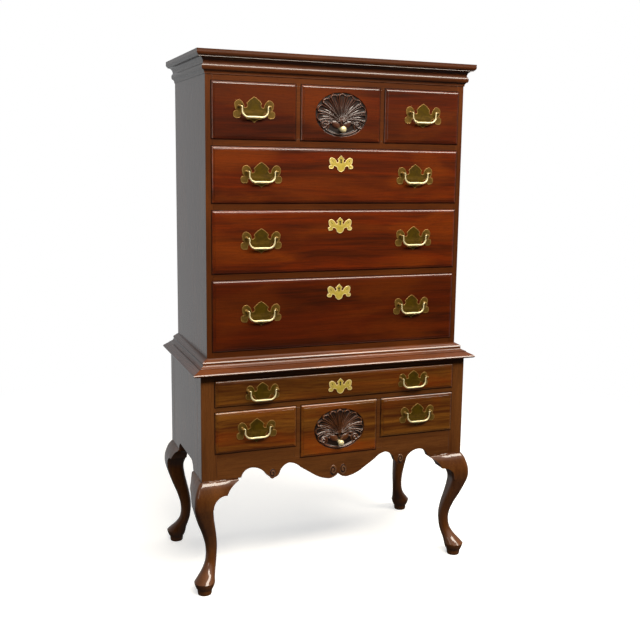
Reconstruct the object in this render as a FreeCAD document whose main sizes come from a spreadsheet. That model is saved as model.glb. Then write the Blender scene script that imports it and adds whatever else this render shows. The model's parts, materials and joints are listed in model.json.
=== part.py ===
"""Two-part chest of drawers on cabriole legs: an upper case of six drawers set on a
lower case of four, with a cornice, a waist moulding, shell-carved centre drawers,
cast brass plates and swinging bail pulls.

Frame: +X to the right of someone facing the drawers, +Y to the back, +Z up, in
millimetres.  The origin lies on the floor under the middle of the whole piece.
"""
import FreeCAD
import Part
import math
import os
import Sketcher
from FreeCAD import Placement, Rotation, Vector

SIZES = [
    ("case_width", 936),
    ("case_depth", 472),
    ("base_step", 28),
    ("leg_height", 407),
    ("skirt_height", 93),
    ("skirt_arch", 31),
    ("base_row_height", 144),
    ("shell_hang", 44),
    ("middle_rail_show", 19),
    ("base_long_height", 90),
    ("top_rail_show", 23),
    ("waist_height", 50),
    ("waist_overhang", 30),
    ("plinth_show", 21),
    ("third_height", 239),
    ("second_height", 209),
    ("first_height", 184),
    ("row_height", 183),
    ("rail_show", 24),
    ("frieze_show", 21),
    ("cornice_height", 74),
    ("cornice_overhang", 32),
    ("panel_board", 20),
    ("back_board", 12),
    ("back_lift", 23),
    ("rail_depth", 60),
    ("apron_board", 22),
    ("case_board", 20),
    ("stile_show", 19.5),
    ("divider_show", 18.5),
    ("shell_half", 143.5),
    ("lip_cover", 5),
    ("lip_thick", 6),
    ("lip_round", 4.5),
    ("field_inset", 7),
    ("field_raise", 1.2),
    ("front_block", 15),
    ("side_gap", 1.5),
    ("top_gap", 3),
    ("bottom_gap", 1),
    ("rear_gap", 12),
    ("box_board", 12),
    ("box_bottom", 8),
    ("box_bottom_lift", 8),
    ("runner_width", 25),
    ("runner_thick", 18),
    ("guide_height", 22),
    ("knee_reach", 27),
    ("ankle_half", 17.5),
    ("foot_radius", 36),
    ("foot_reach", 26),
    ("pad_radius", 23),
    ("pad_height", 18),
    ("bracket_length", 128),
    ("bracket_cusp", 89),
    ("shell_base", 2),
    ("shell_sink", 7.5),
    ("rib_radius", 14.5),
    ("plate_thick", 1.6),
    ("post_spread", 51.5),
    ("ball_radius", 4.6),
    ("pivot_reach", 11.5),
    ("rod_radius", 2.2),
    ("pin_gap", 0.05),
    ("bail_drop", 34),
    ("knob_radius", 10),
    ("knob_length", 20),
]

doc = FreeCAD.newDocument("highboy")
sheet = doc.addObject("Spreadsheet::Sheet", "Sizes")
for row, (alias, value) in enumerate(SIZES, start=1):
    sheet.set(f"A{row}", alias)
    sheet.set(f"B{row}", str(value))
    sheet.setAlias(f"B{row}", alias)
doc.recompute()


class Dim:
    """A length that carries its value and the sheet expression it comes from."""

    def __init__(self, value, text):
        self.value = value
        self.text = text

    def __add__(self, other):
        return Dim(self.value + plain(other), f"({self.text} + {written(other)})")

    def __sub__(self, other):
        return Dim(self.value - plain(other), f"({self.text} - {written(other)})")

    def __mul__(self, other):
        return Dim(self.value * plain(other), f"({self.text} * {written(other)})")

    def __truediv__(self, other):
        return Dim(self.value / plain(other), f"({self.text} / {written(other)})")

    def __radd__(self, other):
        return self + other

    def __rsub__(self, other):
        return -self + other

    def __rmul__(self, other):
        return self * other

    def __neg__(self):
        return Dim(-self.value, f"(0 - {self.text})")


def plain(length):
    """The value of a length, whether it is a Dim or a number."""
    return length.value if isinstance(length, Dim) else float(length)


def written(length):
    """The expression of a length, whether it is a Dim or a number."""
    return length.text if isinstance(length, Dim) else f"{float(length):.4f}"


def size(alias):
    """The length in the sheet's cell of that name."""
    return Dim(float(sheet.get(alias)), f"Sizes.{alias}")


def bind(thing, prop, length):
    """Set a property to a length and tie it to the sheet when it comes from there."""
    if isinstance(length, Dim):
        thing.setExpression(prop, length.text)
    else:
        setattr(thing, prop, length)


# ---------------------------------------------------------------- derived lengths
HALF_UPPER = size("case_width") / 2
HALF_LOWER = HALF_UPPER + size("base_step")
LOWER_DEPTH = size("case_depth") + size("base_step")
BACK = (LOWER_DEPTH + size("waist_overhang") - size("knee_reach")) / 2
LOWER_FRONT = BACK - LOWER_DEPTH
UPPER_FRONT = BACK - size("case_depth")
STILE = size("stile_show") + size("lip_cover")
POST = STILE + size("base_step")
POST_INNER = HALF_LOWER - POST
FRONT_HALF = HALF_UPPER - size("stile_show")
SMALL_INNER = size("shell_half") + size("divider_show")
DIVIDER_IN = size("shell_half") - size("lip_cover")
DIVIDER_OUT = SMALL_INNER + size("lip_cover")
FIELD_FRONT = size("lip_thick") + size("field_raise")
BACK_INNER = BACK - size("back_board")
BOX_REAR = BACK_INNER - size("rear_gap")
HALF_TURN = 2 ** -0.5

# levels, from the floor up
KNEE_TOP = size("leg_height")
SKIRT_ARCH = KNEE_TOP + size("skirt_arch")
SMALL_BOTTOM = KNEE_TOP + size("skirt_height")
SHELL_BOTTOM = SMALL_BOTTOM - size("shell_hang")
BASE_ROW_TOP = SMALL_BOTTOM + size("base_row_height")
BASE_LONG_BOTTOM = BASE_ROW_TOP + size("middle_rail_show")
BASE_LONG_TOP = BASE_LONG_BOTTOM + size("base_long_height")
BASE_TOP = BASE_LONG_TOP + size("top_rail_show")
WAIST_TOP = BASE_TOP + size("waist_height")
THIRD_BOTTOM = WAIST_TOP + size("plinth_show")
THIRD_TOP = THIRD_BOTTOM + size("third_height")
SECOND_BOTTOM = THIRD_TOP + size("rail_show")
SECOND_TOP = SECOND_BOTTOM + size("second_height")
FIRST_BOTTOM = SECOND_TOP + size("rail_show")
FIRST_TOP = FIRST_BOTTOM + size("first_height")
ROW_BOTTOM = FIRST_TOP + size("rail_show")
ROW_TOP = ROW_BOTTOM + size("row_height")
CORNICE_BOTTOM = ROW_TOP + size("frieze_show")
TOTAL_HEIGHT = CORNICE_BOTTOM + size("cornice_height")


def stretched(length, mark, drawn):
    """The place of a mark on a length that was drawn with another size."""
    return length * mark / drawn


# ---------------------------------------------------------------- solid helpers
def board(name, low, high):
    """A plain rectangular board between two corners."""
    box = doc.addObject("Part::Box", name)
    for side, axis, start, end in zip(("Length", "Width", "Height"), "xyz", low, high):
        bind(box, side, end - start)
        box.setExpression(f"Placement.Base.{axis}", written(start))
    return box


def twin_boards(name, low, high):
    """The same board on the right and, mirrored in x, on the left."""
    right = board(f"{name}_right", low, high)
    left = board(f"{name}_left", (-high[0], low[1], low[2]), (-low[0], high[1], high[2]))
    return [right, left]


def group(name, pieces):
    """One named sub-part made of several separate solids."""
    compound = doc.addObject("Part::Compound", name)
    compound.Links = pieces
    return compound


def mirrored_piece(name, source, base, normal):
    """A sub-part that is the mirror image of another."""
    mirror = doc.addObject("Part::Mirroring", name)
    mirror.Source = source
    for axis, value in zip("xyz", base):
        mirror.setExpression(f"Base.{axis}", written(value))
    mirror.Normal = Vector(*normal)
    return mirror


def new_body(name):
    return doc.addObject("PartDesign::Body", name)


def attach(body, name, role, offset=(0, 0, 0)):
    """A sketch on one of the body's own planes, moved by an offset in the plane's frame."""
    sketch = body.newObject("Sketcher::SketchObject", name)
    plane = [part for part in body.Origin.OriginFeatures if part.Role == role][0]
    sketch.AttachmentSupport = [(plane, "")]
    sketch.MapMode = "FlatFace"
    for axis, value in zip("xyz", offset):
        sketch.setExpression(f"AttachmentOffset.Base.{axis}", written(value))
    return sketch


def pin_vertex(sketch, index, target):
    """Fix the end of a segment that lies at the target, and say which end that is."""
    goal = Vector(plain(target[0]), plain(target[1]), 0)
    first = sketch.getPoint(index, 1)
    last = sketch.getPoint(index, 2)
    end = 1 if (first - goal).Length < (last - goal).Length else 2
    for kind, axis, value in (("DistanceX", -2, target[0]), ("DistanceY", -1, target[1])):
        if isinstance(value, Dim) or abs(value) > 1e-6:
            number = sketch.addConstraint(
                Sketcher.Constraint(kind, -1, 1, index, end, plain(value)))
            if isinstance(value, Dim):
                sketch.setExpression(f"Constraints[{number}]", value.text)
        else:
            sketch.addConstraint(Sketcher.Constraint("PointOnObject", index, end, axis))
    return end


def draw(sketch, start, segments):
    """A closed outline of lines (one point) and three-point arcs (two points)."""
    here = start
    for segment in segments:
        points = [Vector(plain(u), plain(v), 0) for u, v in (here, *segment)]
        if len(segment) == 1:
            sketch.addGeometry(Part.LineSegment(*points), False)
        else:
            sketch.addGeometry(Part.Arc(*points), False)
        here = segment[-1]
    ends = [pin_vertex(sketch, index, segment[-1]) for index, segment in enumerate(segments)]
    for index, end in enumerate(ends):
        following = (index + 1) % len(ends)
        sketch.addConstraint(
            Sketcher.Constraint("Coincident", index, end, following, 3 - ends[following]))
    return sketch


def rectangle(sketch, low, high):
    """A rectangle between two corners of the sketch."""
    corners = [(high[0], low[1]), (high[0], high[1]), (low[0], high[1]), low]
    return draw(sketch, low, [(corner,) for corner in corners])


def pad(body, name, sketch, length, reverse=False):
    feature = body.newObject("PartDesign::Pad", name)
    feature.Profile = sketch
    feature.Reversed = reverse
    bind(feature, "Length", length)
    return feature


def pocket_through(body, name, sketch):
    """Cut the sketch right through the body, both ways."""
    feature = body.newObject("PartDesign::Pocket", name)
    feature.Profile = sketch
    feature.Type = "ThroughAll"
    feature.SideType = "Symmetric"
    return feature


def revolve(body, name, sketch):
    """Turn the sketch once round its own vertical axis."""
    feature = body.newObject("PartDesign::Revolution", name)
    feature.Profile = sketch
    feature.ReferenceAxis = (sketch, ["V_Axis"])
    feature.Angle = 360
    return feature


def both_halves(start, segments):
    """Close a half outline, given from its top to its bottom on the axis, by mirroring."""
    points = [start] + [segment[-1] for segment in segments]
    middles = [segment[0] if len(segment) == 2 else None for segment in segments]
    back = []
    for index in range(len(segments) - 1, -1, -1):
        end = (-points[index][0], points[index][1])
        if middles[index] is None:
            back.append((end,))
        else:
            back.append(((-middles[index][0], middles[index][1]), end))
    return list(segments) + back


# ---------------------------------------------------------------- legs and brackets
# Each station: height on a leg as tall as LEG_DRAWN, how far the outer faces stand out
# from the case, half width, and corner radius as a share of the half width.
LEG_DRAWN = 407
KNEE_LEDGE = (397.5, 8, 31.5, 0.38)
LEG_STATIONS = [
    KNEE_LEDGE,
    (375, 19.6, 35.8, 0.38),
    (345, size("knee_reach"), 35.5, 0.40),
    (315, 25, 29.5, 0.45),
    (280, 15, 26, 0.55),
    (245, 4, 24.2, 0.68),
    (200, -12.5, 20.5, 0.82),
    (160, -21.5, 18, 0.92),
    (130, -22.5, size("ankle_half"), 0.96),
    (100, -16.5, 19.2, 0.97),
    (75, -1, 24.5, 0.97),
    (57, 15, 31, 0.97),
    (44, size("foot_reach"), size("foot_radius"), 0.97),
]
LEDGE_CORNER = 0.06


def leg_level(height):
    """A height drawn for a leg as tall as LEG_DRAWN, stretched with the real leg."""
    return stretched(KNEE_TOP, height, LEG_DRAWN)


def leg_section(body, name, station):
    """A square of the leg's section with rounded corners, level at its height."""
    height, reach, half, corner = station
    sketch = attach(body, name, "XY_Plane", (0, 0, leg_level(height)))
    middle_x = HALF_LOWER + reach - half
    middle_y = LOWER_FRONT - reach + half
    turn = half * corner
    bulge = turn * (1 - HALF_TURN)
    straight = half - turn
    right, left = middle_x + half, middle_x - half
    rear, front = middle_y + half, middle_y - half
    segments = [
        ((middle_x + straight, front),),
        ((right - bulge, front + bulge), (right, middle_y - straight)),
        ((right, middle_y + straight),),
        ((right - bulge, rear - bulge), (middle_x + straight, rear)),
        ((middle_x - straight, rear),),
        ((left + bulge, rear - bulge), (left, middle_y + straight)),
        ((left, middle_y - straight),),
        ((left + bulge, front + bulge), (middle_x - straight, front)),
    ]
    return draw(sketch, (middle_x - straight, front), segments)


def loft(body, name, sections, ruled):
    feature = body.newObject("PartDesign::AdditiveLoft", name)
    feature.Profile = sections[0]
    feature.Sections = sections[1:]
    feature.Ruled = ruled
    return feature


def cabriole_leg(name):
    """Square post, swelling knee, thin ankle and a round pad foot, in one piece."""
    body = new_body(name)
    post = attach(body, f"{name}_post_outline", "XY_Plane", (0, 0, KNEE_TOP))
    rectangle(post, (POST_INNER, LOWER_FRONT),
              (HALF_LOWER, LOWER_FRONT + POST))
    pad(body, f"{name}_post", post, BASE_TOP - KNEE_TOP)
    ledge = leg_section(body, f"{name}_ledge_top", (LEG_DRAWN, 0, POST / 2, LEDGE_CORNER))
    sections = [leg_section(body, f"{name}_section_{index}", station)
                for index, station in enumerate(LEG_STATIONS)]
    loft(body, f"{name}_ledge", [ledge, sections[0]], True)
    loft(body, f"{name}_curve", sections, False)

    inset = size("foot_radius") - size("foot_reach")
    foot = attach(body, f"{name}_foot_outline", "XZ_Plane",
                  (HALF_LOWER - inset, 0, -(LOWER_FRONT + inset)))
    brim, pad_radius, pad_height = size("foot_radius"), size("pad_radius"), size("pad_height")
    edge = 2
    brim_height = leg_level(LEG_STATIONS[-1][0])
    draw(foot, (0, 0), [
        ((pad_radius - edge, 0),),
        ((pad_radius - edge * 0.3, edge * 0.3), (pad_radius, edge)),
        ((pad_radius, pad_height),),
        ((pad_radius + 2, pad_height),),
        ((brim - 3.5, leg_level(29.5)), (brim, brim_height)),
        ((0, brim_height),),
        ((0, 0),),
    ])
    revolve(body, f"{name}_foot", foot)
    return body


def knee_bracket(name, leg):
    """The carved ear beside a knee: the knee's own bulge carried along under the skirt."""
    body = new_body(f"{name}_block")
    hidden = 25
    proud = 34
    sketch = attach(body, f"{name}_outline", "XZ_Plane", (0, 0, -(LOWER_FRONT + hidden)))
    tip, cusp = HALF_LOWER - size("bracket_length"), HALF_LOWER - size("bracket_cusp")
    draw(sketch, (tip, KNEE_TOP), [
        ((tip, leg_level(404)),),
        ((tip + 17, leg_level(385)), (cusp, leg_level(350))),
        ((cusp + 27, leg_level(339)), (HALF_LOWER - 43, leg_level(312))),
        ((HALF_LOWER - 27, leg_level(310)),),
        ((HALF_LOWER - 42, leg_level(362)),),
        ((HALF_LOWER - 42, KNEE_TOP),),
        ((tip, KNEE_TOP),),
    ])
    pad(body, f"{name}_blank", sketch, hidden + proud)

    ledge_height, ledge_reach = KNEE_LEDGE[0], KNEE_LEDGE[1]
    waste = attach(body, f"{name}_waste_outline", "YZ_Plane")
    front = LOWER_FRONT
    far = front - proud - 20
    widest = front - size("knee_reach")
    under = leg_level(290)
    draw(waste, (front, KNEE_TOP), [
        ((front - ledge_reach, leg_level(ledge_height)),),
        ((front - 19.6, leg_level(375)), (widest, leg_level(345))),
        ((widest + 0.4, leg_level(330)), (widest + 3.2, leg_level(309))),
        ((widest + 5, under),),
        ((far, under),),
        ((far, KNEE_TOP + 20),),
        ((front, KNEE_TOP + 20),),
        ((front, KNEE_TOP),),
    ])
    pocket_through(body, f"{name}_waste", waste)
    cut = doc.addObject("Part::Cut", name)
    cut.Base = body
    cut.Tool = leg
    return cut


MIDDLE_Y = (LOWER_FRONT + BACK) / 2
front_right_leg = cabriole_leg("front_right_leg")
front_left_leg = mirrored_piece("front_left_leg", front_right_leg, (0, 0, 0), (1, 0, 0))
back_right_leg = mirrored_piece("back_right_leg", front_right_leg, (0, MIDDLE_Y, 0), (0, 1, 0))
back_left_leg = mirrored_piece("back_left_leg", back_right_leg, (0, 0, 0), (1, 0, 0))

bracket_front_right = knee_bracket("bracket_front_right", front_right_leg)
bracket_side_right = mirrored_piece("bracket_side_right", bracket_front_right,
                                    (HALF_LOWER, LOWER_FRONT, 0), (1, 1, 0))
bracket_rear_right = mirrored_piece("bracket_rear_right", bracket_side_right,
                                    (0, MIDDLE_Y, 0), (0, 1, 0))
right_brackets = [bracket_front_right, bracket_side_right, bracket_rear_right]
left_brackets = [mirrored_piece(piece.Name.replace("right", "left"), piece, (0, 0, 0), (1, 0, 0))
                 for piece in right_brackets]
group("knee_brackets", right_brackets + left_brackets)


# ---------------------------------------------------------------- lower case
def lower_side(name):
    """Side panel between the posts, its lower edge arched between the brackets."""
    body = new_body(name)
    sketch = attach(body, f"{name}_outline", "YZ_Plane",
                    (0, 0, HALF_LOWER - size("panel_board")))
    front, back = LOWER_FRONT + POST, BACK - POST
    near, far = LOWER_FRONT + size("bracket_length") + 1, BACK - size("bracket_length") - 1
    level, rise = KNEE_TOP, 43
    draw(sketch, (front, level), [
        ((near, level),),
        ((near + 10, level + 20), (near + rise, SKIRT_ARCH)),
        ((far - rise, SKIRT_ARCH),),
        ((far - 10, level + 20), (far, level)),
        ((back, level),),
        ((back, BASE_TOP),),
        ((front, BASE_TOP),),
        ((front, level),),
    ])
    pad(body, f"{name}_board", sketch, size("panel_board"))
    return body


lower_side_right = lower_side("lower_side_right")
mirrored_piece("lower_side_left", lower_side_right, (0, 0, 0), (1, 0, 0))
board("lower_back", (-POST_INNER, BACK_INNER, KNEE_TOP + size("back_lift")),
      (POST_INNER, BACK, BASE_TOP))

SMALL_FLOOR = SMALL_BOTTOM + size("lip_cover")
SHELL_FLOOR = SHELL_BOTTOM + size("lip_cover")
BASE_ROW_CEILING = BASE_ROW_TOP - size("lip_cover")
BASE_LONG_FLOOR = BASE_LONG_BOTTOM + size("lip_cover")
BASE_LONG_CEILING = BASE_LONG_TOP - size("lip_cover")


def apron_board(name):
    """Front skirt with two arches, two scrolled drops and a double lobe in the middle."""
    body = new_body(name)
    sketch = attach(body, f"{name}_outline", "XZ_Plane",
                    (0, 0, -(LOWER_FRONT + size("apron_board"))))
    level, arch = KNEE_TOP, SKIRT_ARCH
    notch = HALF_LOWER - size("bracket_length") - 11
    drawn = 357

    def along(inward):
        """A place on the outline, drawn inward from the notch, stretched with the width."""
        return stretched(notch, drawn - inward, drawn)

    half = [
        ((POST_INNER, SMALL_FLOOR),),
        ((POST_INNER, level),),
        ((notch, level),),
        ((along(11), level + 21), (along(39), arch + 0.5)),
        ((along(67), level + 23), (along(86), level + 4.5)),
        ((along(102), level - 8.5), (along(116), level - 13)),
        ((along(128), level - 10), (along(137), level + 1)),
        ((along(151), level + 24), (along(172), arch + 3.5)),
        ((along(193), arch - 2), (along(214), level + 13.5)),
        ((along(267), level - 21),),
        ((along(297), level - 35.5), (along(324), level - 41.5)),
        ((along(346), level - 35), (0, level - 25)),
    ]
    top = [((DIVIDER_OUT, SHELL_FLOOR),), ((DIVIDER_OUT, SMALL_FLOOR),)]
    draw(sketch, (0, SHELL_FLOOR), both_halves((0, SHELL_FLOOR), top + half))
    pad(body, f"{name}_board", sketch, size("apron_board"))
    return body


apron_board("apron")


def front_rail(name, half_width, front, depth, low, high):
    return board(name, (-half_width, front, low), (half_width, front + depth, high))


group("lower_rails", [
    front_rail("lower_top_rail", POST_INNER, LOWER_FRONT, POST, BASE_LONG_CEILING, BASE_TOP),
    front_rail("lower_middle_rail", POST_INNER, LOWER_FRONT, POST,
               BASE_ROW_CEILING, BASE_LONG_FLOOR),
    *twin_boards("lower_divider", (DIVIDER_IN, LOWER_FRONT, SHELL_FLOOR),
                 (DIVIDER_OUT, LOWER_FRONT + POST, BASE_ROW_CEILING)),
])

# ---------------------------------------------------------------- upper case
UPPER_INNER = HALF_UPPER - STILE
board("upper_side_right", (UPPER_INNER, UPPER_FRONT, BASE_TOP), (HALF_UPPER, BACK, TOTAL_HEIGHT))
board("upper_side_left", (-HALF_UPPER, UPPER_FRONT, BASE_TOP), (-UPPER_INNER, BACK, TOTAL_HEIGHT))
board("upper_back", (-UPPER_INNER, BACK_INNER, BASE_TOP), (UPPER_INNER, BACK, TOTAL_HEIGHT))

ROW_CEILING = ROW_TOP - size("lip_cover")
ROW_FLOOR = ROW_BOTTOM + size("lip_cover")
FIRST_CEILING = FIRST_TOP - size("lip_cover")
FIRST_FLOOR = FIRST_BOTTOM + size("lip_cover")
SECOND_CEILING = SECOND_TOP - size("lip_cover")
SECOND_FLOOR = SECOND_BOTTOM + size("lip_cover")
THIRD_CEILING = THIRD_TOP - size("lip_cover")
THIRD_FLOOR = THIRD_BOTTOM + size("lip_cover")
TOP_BOARD_UNDER = TOTAL_HEIGHT - size("case_board")
UPPER_RAIL_REAR = UPPER_FRONT + size("rail_depth")

group("upper_boards", [
    board("upper_top_board", (-UPPER_INNER, UPPER_FRONT, TOP_BOARD_UNDER),
          (UPPER_INNER, BACK_INNER, TOTAL_HEIGHT)),
    board("upper_bottom_board",
          (-UPPER_INNER, UPPER_RAIL_REAR, THIRD_FLOOR - size("case_board")),
          (UPPER_INNER, BACK_INNER, THIRD_FLOOR)),
])
rail_depth = size("rail_depth")
group("upper_rails", [
    front_rail("frieze_rail", UPPER_INNER, UPPER_FRONT, rail_depth,
               ROW_CEILING, TOP_BOARD_UNDER),
    front_rail("row_rail", UPPER_INNER, UPPER_FRONT, rail_depth, FIRST_CEILING, ROW_FLOOR),
    front_rail("first_rail", UPPER_INNER, UPPER_FRONT, rail_depth,
               SECOND_CEILING, FIRST_FLOOR),
    front_rail("second_rail", UPPER_INNER, UPPER_FRONT, rail_depth,
               THIRD_CEILING, SECOND_FLOOR),
    front_rail("plinth_rail", UPPER_INNER, UPPER_FRONT, rail_depth, BASE_TOP, THIRD_FLOOR),
    *twin_boards("upper_divider", (DIVIDER_IN, UPPER_FRONT, ROW_FLOOR),
                 (DIVIDER_OUT, UPPER_RAIL_REAR, ROW_CEILING)),
])


# ---------------------------------------------------------------- runners
def side_runner(name, inner, outer, front, rear, floor):
    return twin_boards(name, (inner, front, floor - size("runner_thick")),
                       (outer, rear, floor))


upper_strip = (UPPER_INNER - size("runner_width"), UPPER_INNER, UPPER_RAIL_REAR, BACK_INNER)
panel_inner = HALF_LOWER - size("panel_board")
lower_strip = (POST_INNER - size("runner_width"), panel_inner,
               LOWER_FRONT + POST, BACK - POST)
apron_rear = LOWER_FRONT + size("apron_board")
runners = [
    *side_runner("first_runner", *upper_strip, FIRST_FLOOR),
    *side_runner("second_runner", *upper_strip, SECOND_FLOOR),
    *side_runner("row_outer_runner", *upper_strip, ROW_FLOOR),
    *side_runner("row_inner_runner", DIVIDER_IN - size("runner_width") / 2,
                 DIVIDER_OUT + size("runner_width") / 2, UPPER_RAIL_REAR, BACK_INNER, ROW_FLOOR),
    *twin_boards("row_guide", (DIVIDER_IN, UPPER_RAIL_REAR, ROW_FLOOR),
                 (DIVIDER_OUT, BACK_INNER, ROW_FLOOR + size("guide_height"))),
    *side_runner("base_long_runner", *lower_strip, BASE_LONG_FLOOR),
    *side_runner("base_outer_runner", *lower_strip, SMALL_FLOOR),
    *twin_boards("base_guide", (DIVIDER_IN, LOWER_FRONT + POST, SHELL_FLOOR),
                 (DIVIDER_OUT, BACK_INNER, SMALL_FLOOR + size("guide_height"))),
    *side_runner("base_shell_runner", DIVIDER_IN - size("runner_width"), DIVIDER_IN,
                 apron_rear, BACK_INNER, SHELL_FLOOR),
    *side_runner("base_inner_runner", DIVIDER_OUT, DIVIDER_OUT + size("runner_width"),
                 apron_rear, BACK_INNER, SMALL_FLOOR),
]
group("drawer_runners", runners)


# ---------------------------------------------------------------- mouldings
def moulding(name, profile, overhang):
    """A moulded strip round the front and both sides of the upper case, mitred."""
    spare = 20
    across = new_body(f"{name}_front")
    sketch = attach(across, f"{name}_front_profile", "YZ_Plane", (0, 0, -(HALF_UPPER + overhang)))
    facing = [tuple((UPPER_FRONT - out, z) for out, z in segment) for segment in profile]
    draw(sketch, facing[-1][-1], facing)
    pad(across, f"{name}_front_strip", sketch, (HALF_UPPER + overhang) * 2)
    mitre = attach(across, f"{name}_front_mitre", "XY_Plane")
    ends = [
        ((HALF_UPPER + overhang + spare, UPPER_FRONT - overhang - spare),),
        ((HALF_UPPER + overhang + spare, UPPER_FRONT + spare),),
        ((HALF_UPPER, UPPER_FRONT + spare),),
        ((HALF_UPPER, UPPER_FRONT),),
    ]
    draw(mitre, (HALF_UPPER, UPPER_FRONT), ends)
    pocket_through(across, f"{name}_front_right_end", mitre)
    other = attach(across, f"{name}_front_other_mitre", "XY_Plane")
    draw(other, (-HALF_UPPER, UPPER_FRONT),
         [tuple((-x, y) for x, y in segment) for segment in ends])
    pocket_through(across, f"{name}_front_left_end", other)

    along = new_body(f"{name}_right")
    sketch = attach(along, f"{name}_right_profile", "XZ_Plane", (0, 0, -BACK))
    sideways = [tuple((HALF_UPPER + out, z) for out, z in segment) for segment in profile]
    draw(sketch, sideways[-1][-1], sideways)
    pad(along, f"{name}_right_strip", sketch, size("case_depth") + overhang)
    mitre = attach(along, f"{name}_right_mitre", "XY_Plane")
    draw(mitre, (HALF_UPPER, UPPER_FRONT), [
        ((HALF_UPPER + overhang + spare, UPPER_FRONT - overhang - spare),),
        ((HALF_UPPER - spare, UPPER_FRONT - overhang - spare),),
        ((HALF_UPPER - spare, UPPER_FRONT),),
        ((HALF_UPPER, UPPER_FRONT),),
    ])
    pocket_through(along, f"{name}_right_end", mitre)
    left = mirrored_piece(f"{name}_left", along, (0, 0, 0), (1, 0, 0))
    return group(name, [across, along, left])


def waist(mark):
    """A level in the waist moulding, drawn up from the lower case for a 50 mm moulding."""
    return BASE_TOP + stretched(size("waist_height"), mark, 50)


step = size("base_step")
nose = step + size("waist_overhang")
waist_profile = [
    ((nose - 6, BASE_TOP),),
    ((nose - 1.2, waist(2.6)), (nose, waist(8))),
    ((nose - 2.2, waist(12.6)), (nose - 8, waist(14.8))),
    ((step + 2, waist(20.5)),),
    ((step + 2, waist(22.5)),),
    ((step, waist(22.5)),),
    ((step - 7, waist(25.5)), (step - 11, waist(31.5))),
    ((step - 14.5, waist(38.5)), (step - 20.5, waist(41.5))),
    ((5.5, waist(41.5)),),
    ((2.8, waist(45)), (2, WAIST_TOP)),
    ((0, WAIST_TOP),),
    ((0, BASE_TOP),),
]
moulding("waist_moulding", waist_profile, nose)


def cornice_level(mark):
    """A level in the cornice, drawn down from the top for a 74 mm cornice."""
    return TOTAL_HEIGHT - stretched(size("cornice_height"), mark, 74)


cornice_out = size("cornice_overhang")
cornice_profile = [
    ((2.5, CORNICE_BOTTOM),),
    ((3.5, cornice_level(66.5)), (8, cornice_level(61.5))),
    ((10, cornice_level(61.5)),),
    ((12.8, cornice_level(52)), (10, cornice_level(43))),
    ((8, cornice_level(43)),),
    ((11, cornice_level(29)), (cornice_out - 12, cornice_level(21))),
    ((cornice_out - 8, cornice_level(21)),),
    ((cornice_out - 2, cornice_level(15.5)), (cornice_out, cornice_level(7.5))),
    ((cornice_out, TOTAL_HEIGHT),),
    ((0, TOTAL_HEIGHT),),
    ((0, CORNICE_BOTTOM),),
]
moulding("cornice", cornice_profile, cornice_out)


# ---------------------------------------------------------------- drawers
SHELL_RIBS = 11
SHELL_SPREAD = 106
RIB_ROOT = 10.5


def front_edges(feature, depth):
    """The edges of a padded plate that lie in its front plane."""
    names = []
    for index, edge in enumerate(feature.Shape.Edges, start=1):
        if all(abs(vertex.Point.y - depth) < 1e-6 for vertex in edge.Vertexes):
            names.append(f"Edge{index}")
    return names


def drawer_front(name, low, high, case_front):
    """Lipped front: a rounded lip over the case, a raised field and a block behind."""
    body = new_body(name)
    lip, raised = size("lip_thick"), size("field_raise")
    sketch = attach(body, f"{name}_lip_outline", "XZ_Plane", (0, 0, -case_front))
    rectangle(sketch, low, high)
    plate = pad(body, f"{name}_lip", sketch, lip)
    doc.recompute()
    fillet = body.newObject("PartDesign::Fillet", f"{name}_thumb_edge")
    fillet.Base = (plate, front_edges(plate, plain(case_front - lip)))
    bind(fillet, "Radius", size("lip_round"))
    inset = size("field_inset")
    sketch = attach(body, f"{name}_field_outline", "XZ_Plane", (0, 0, lip - case_front))
    rectangle(sketch, (low[0] + inset, low[1] + inset), (high[0] - inset, high[1] - inset))
    pad(body, f"{name}_field", sketch, raised)
    sketch = attach(body, f"{name}_block_outline", "XZ_Plane", (0, 0, -case_front))
    cover = size("lip_cover")
    aside = cover + size("side_gap")
    rectangle(sketch, (low[0] + aside, low[1] + cover + size("bottom_gap")),
              (high[0] - aside, high[1] - cover - size("top_gap")))
    pad(body, f"{name}_block", sketch, size("front_block"), reverse=True)
    return body


def ellipse_point(half_width, half_height, angle):
    """A point on the shell's oval, its angle measured from the top."""
    return half_width * math.sin(angle), half_height * math.cos(angle)


def rib_length(half_width, half_height, hub_drop, angle):
    """How far the oval is from the hub, which lies below its middle, along an angle."""
    across, up = math.sin(angle) / half_width, math.cos(angle) / half_height
    offset = hub_drop / half_height
    square, linear, rest = across ** 2 + up ** 2, -2 * up * offset, offset ** 2 - 1
    return (-linear + (linear ** 2 - 4 * square * rest) ** 0.5) / (2 * square)


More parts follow.
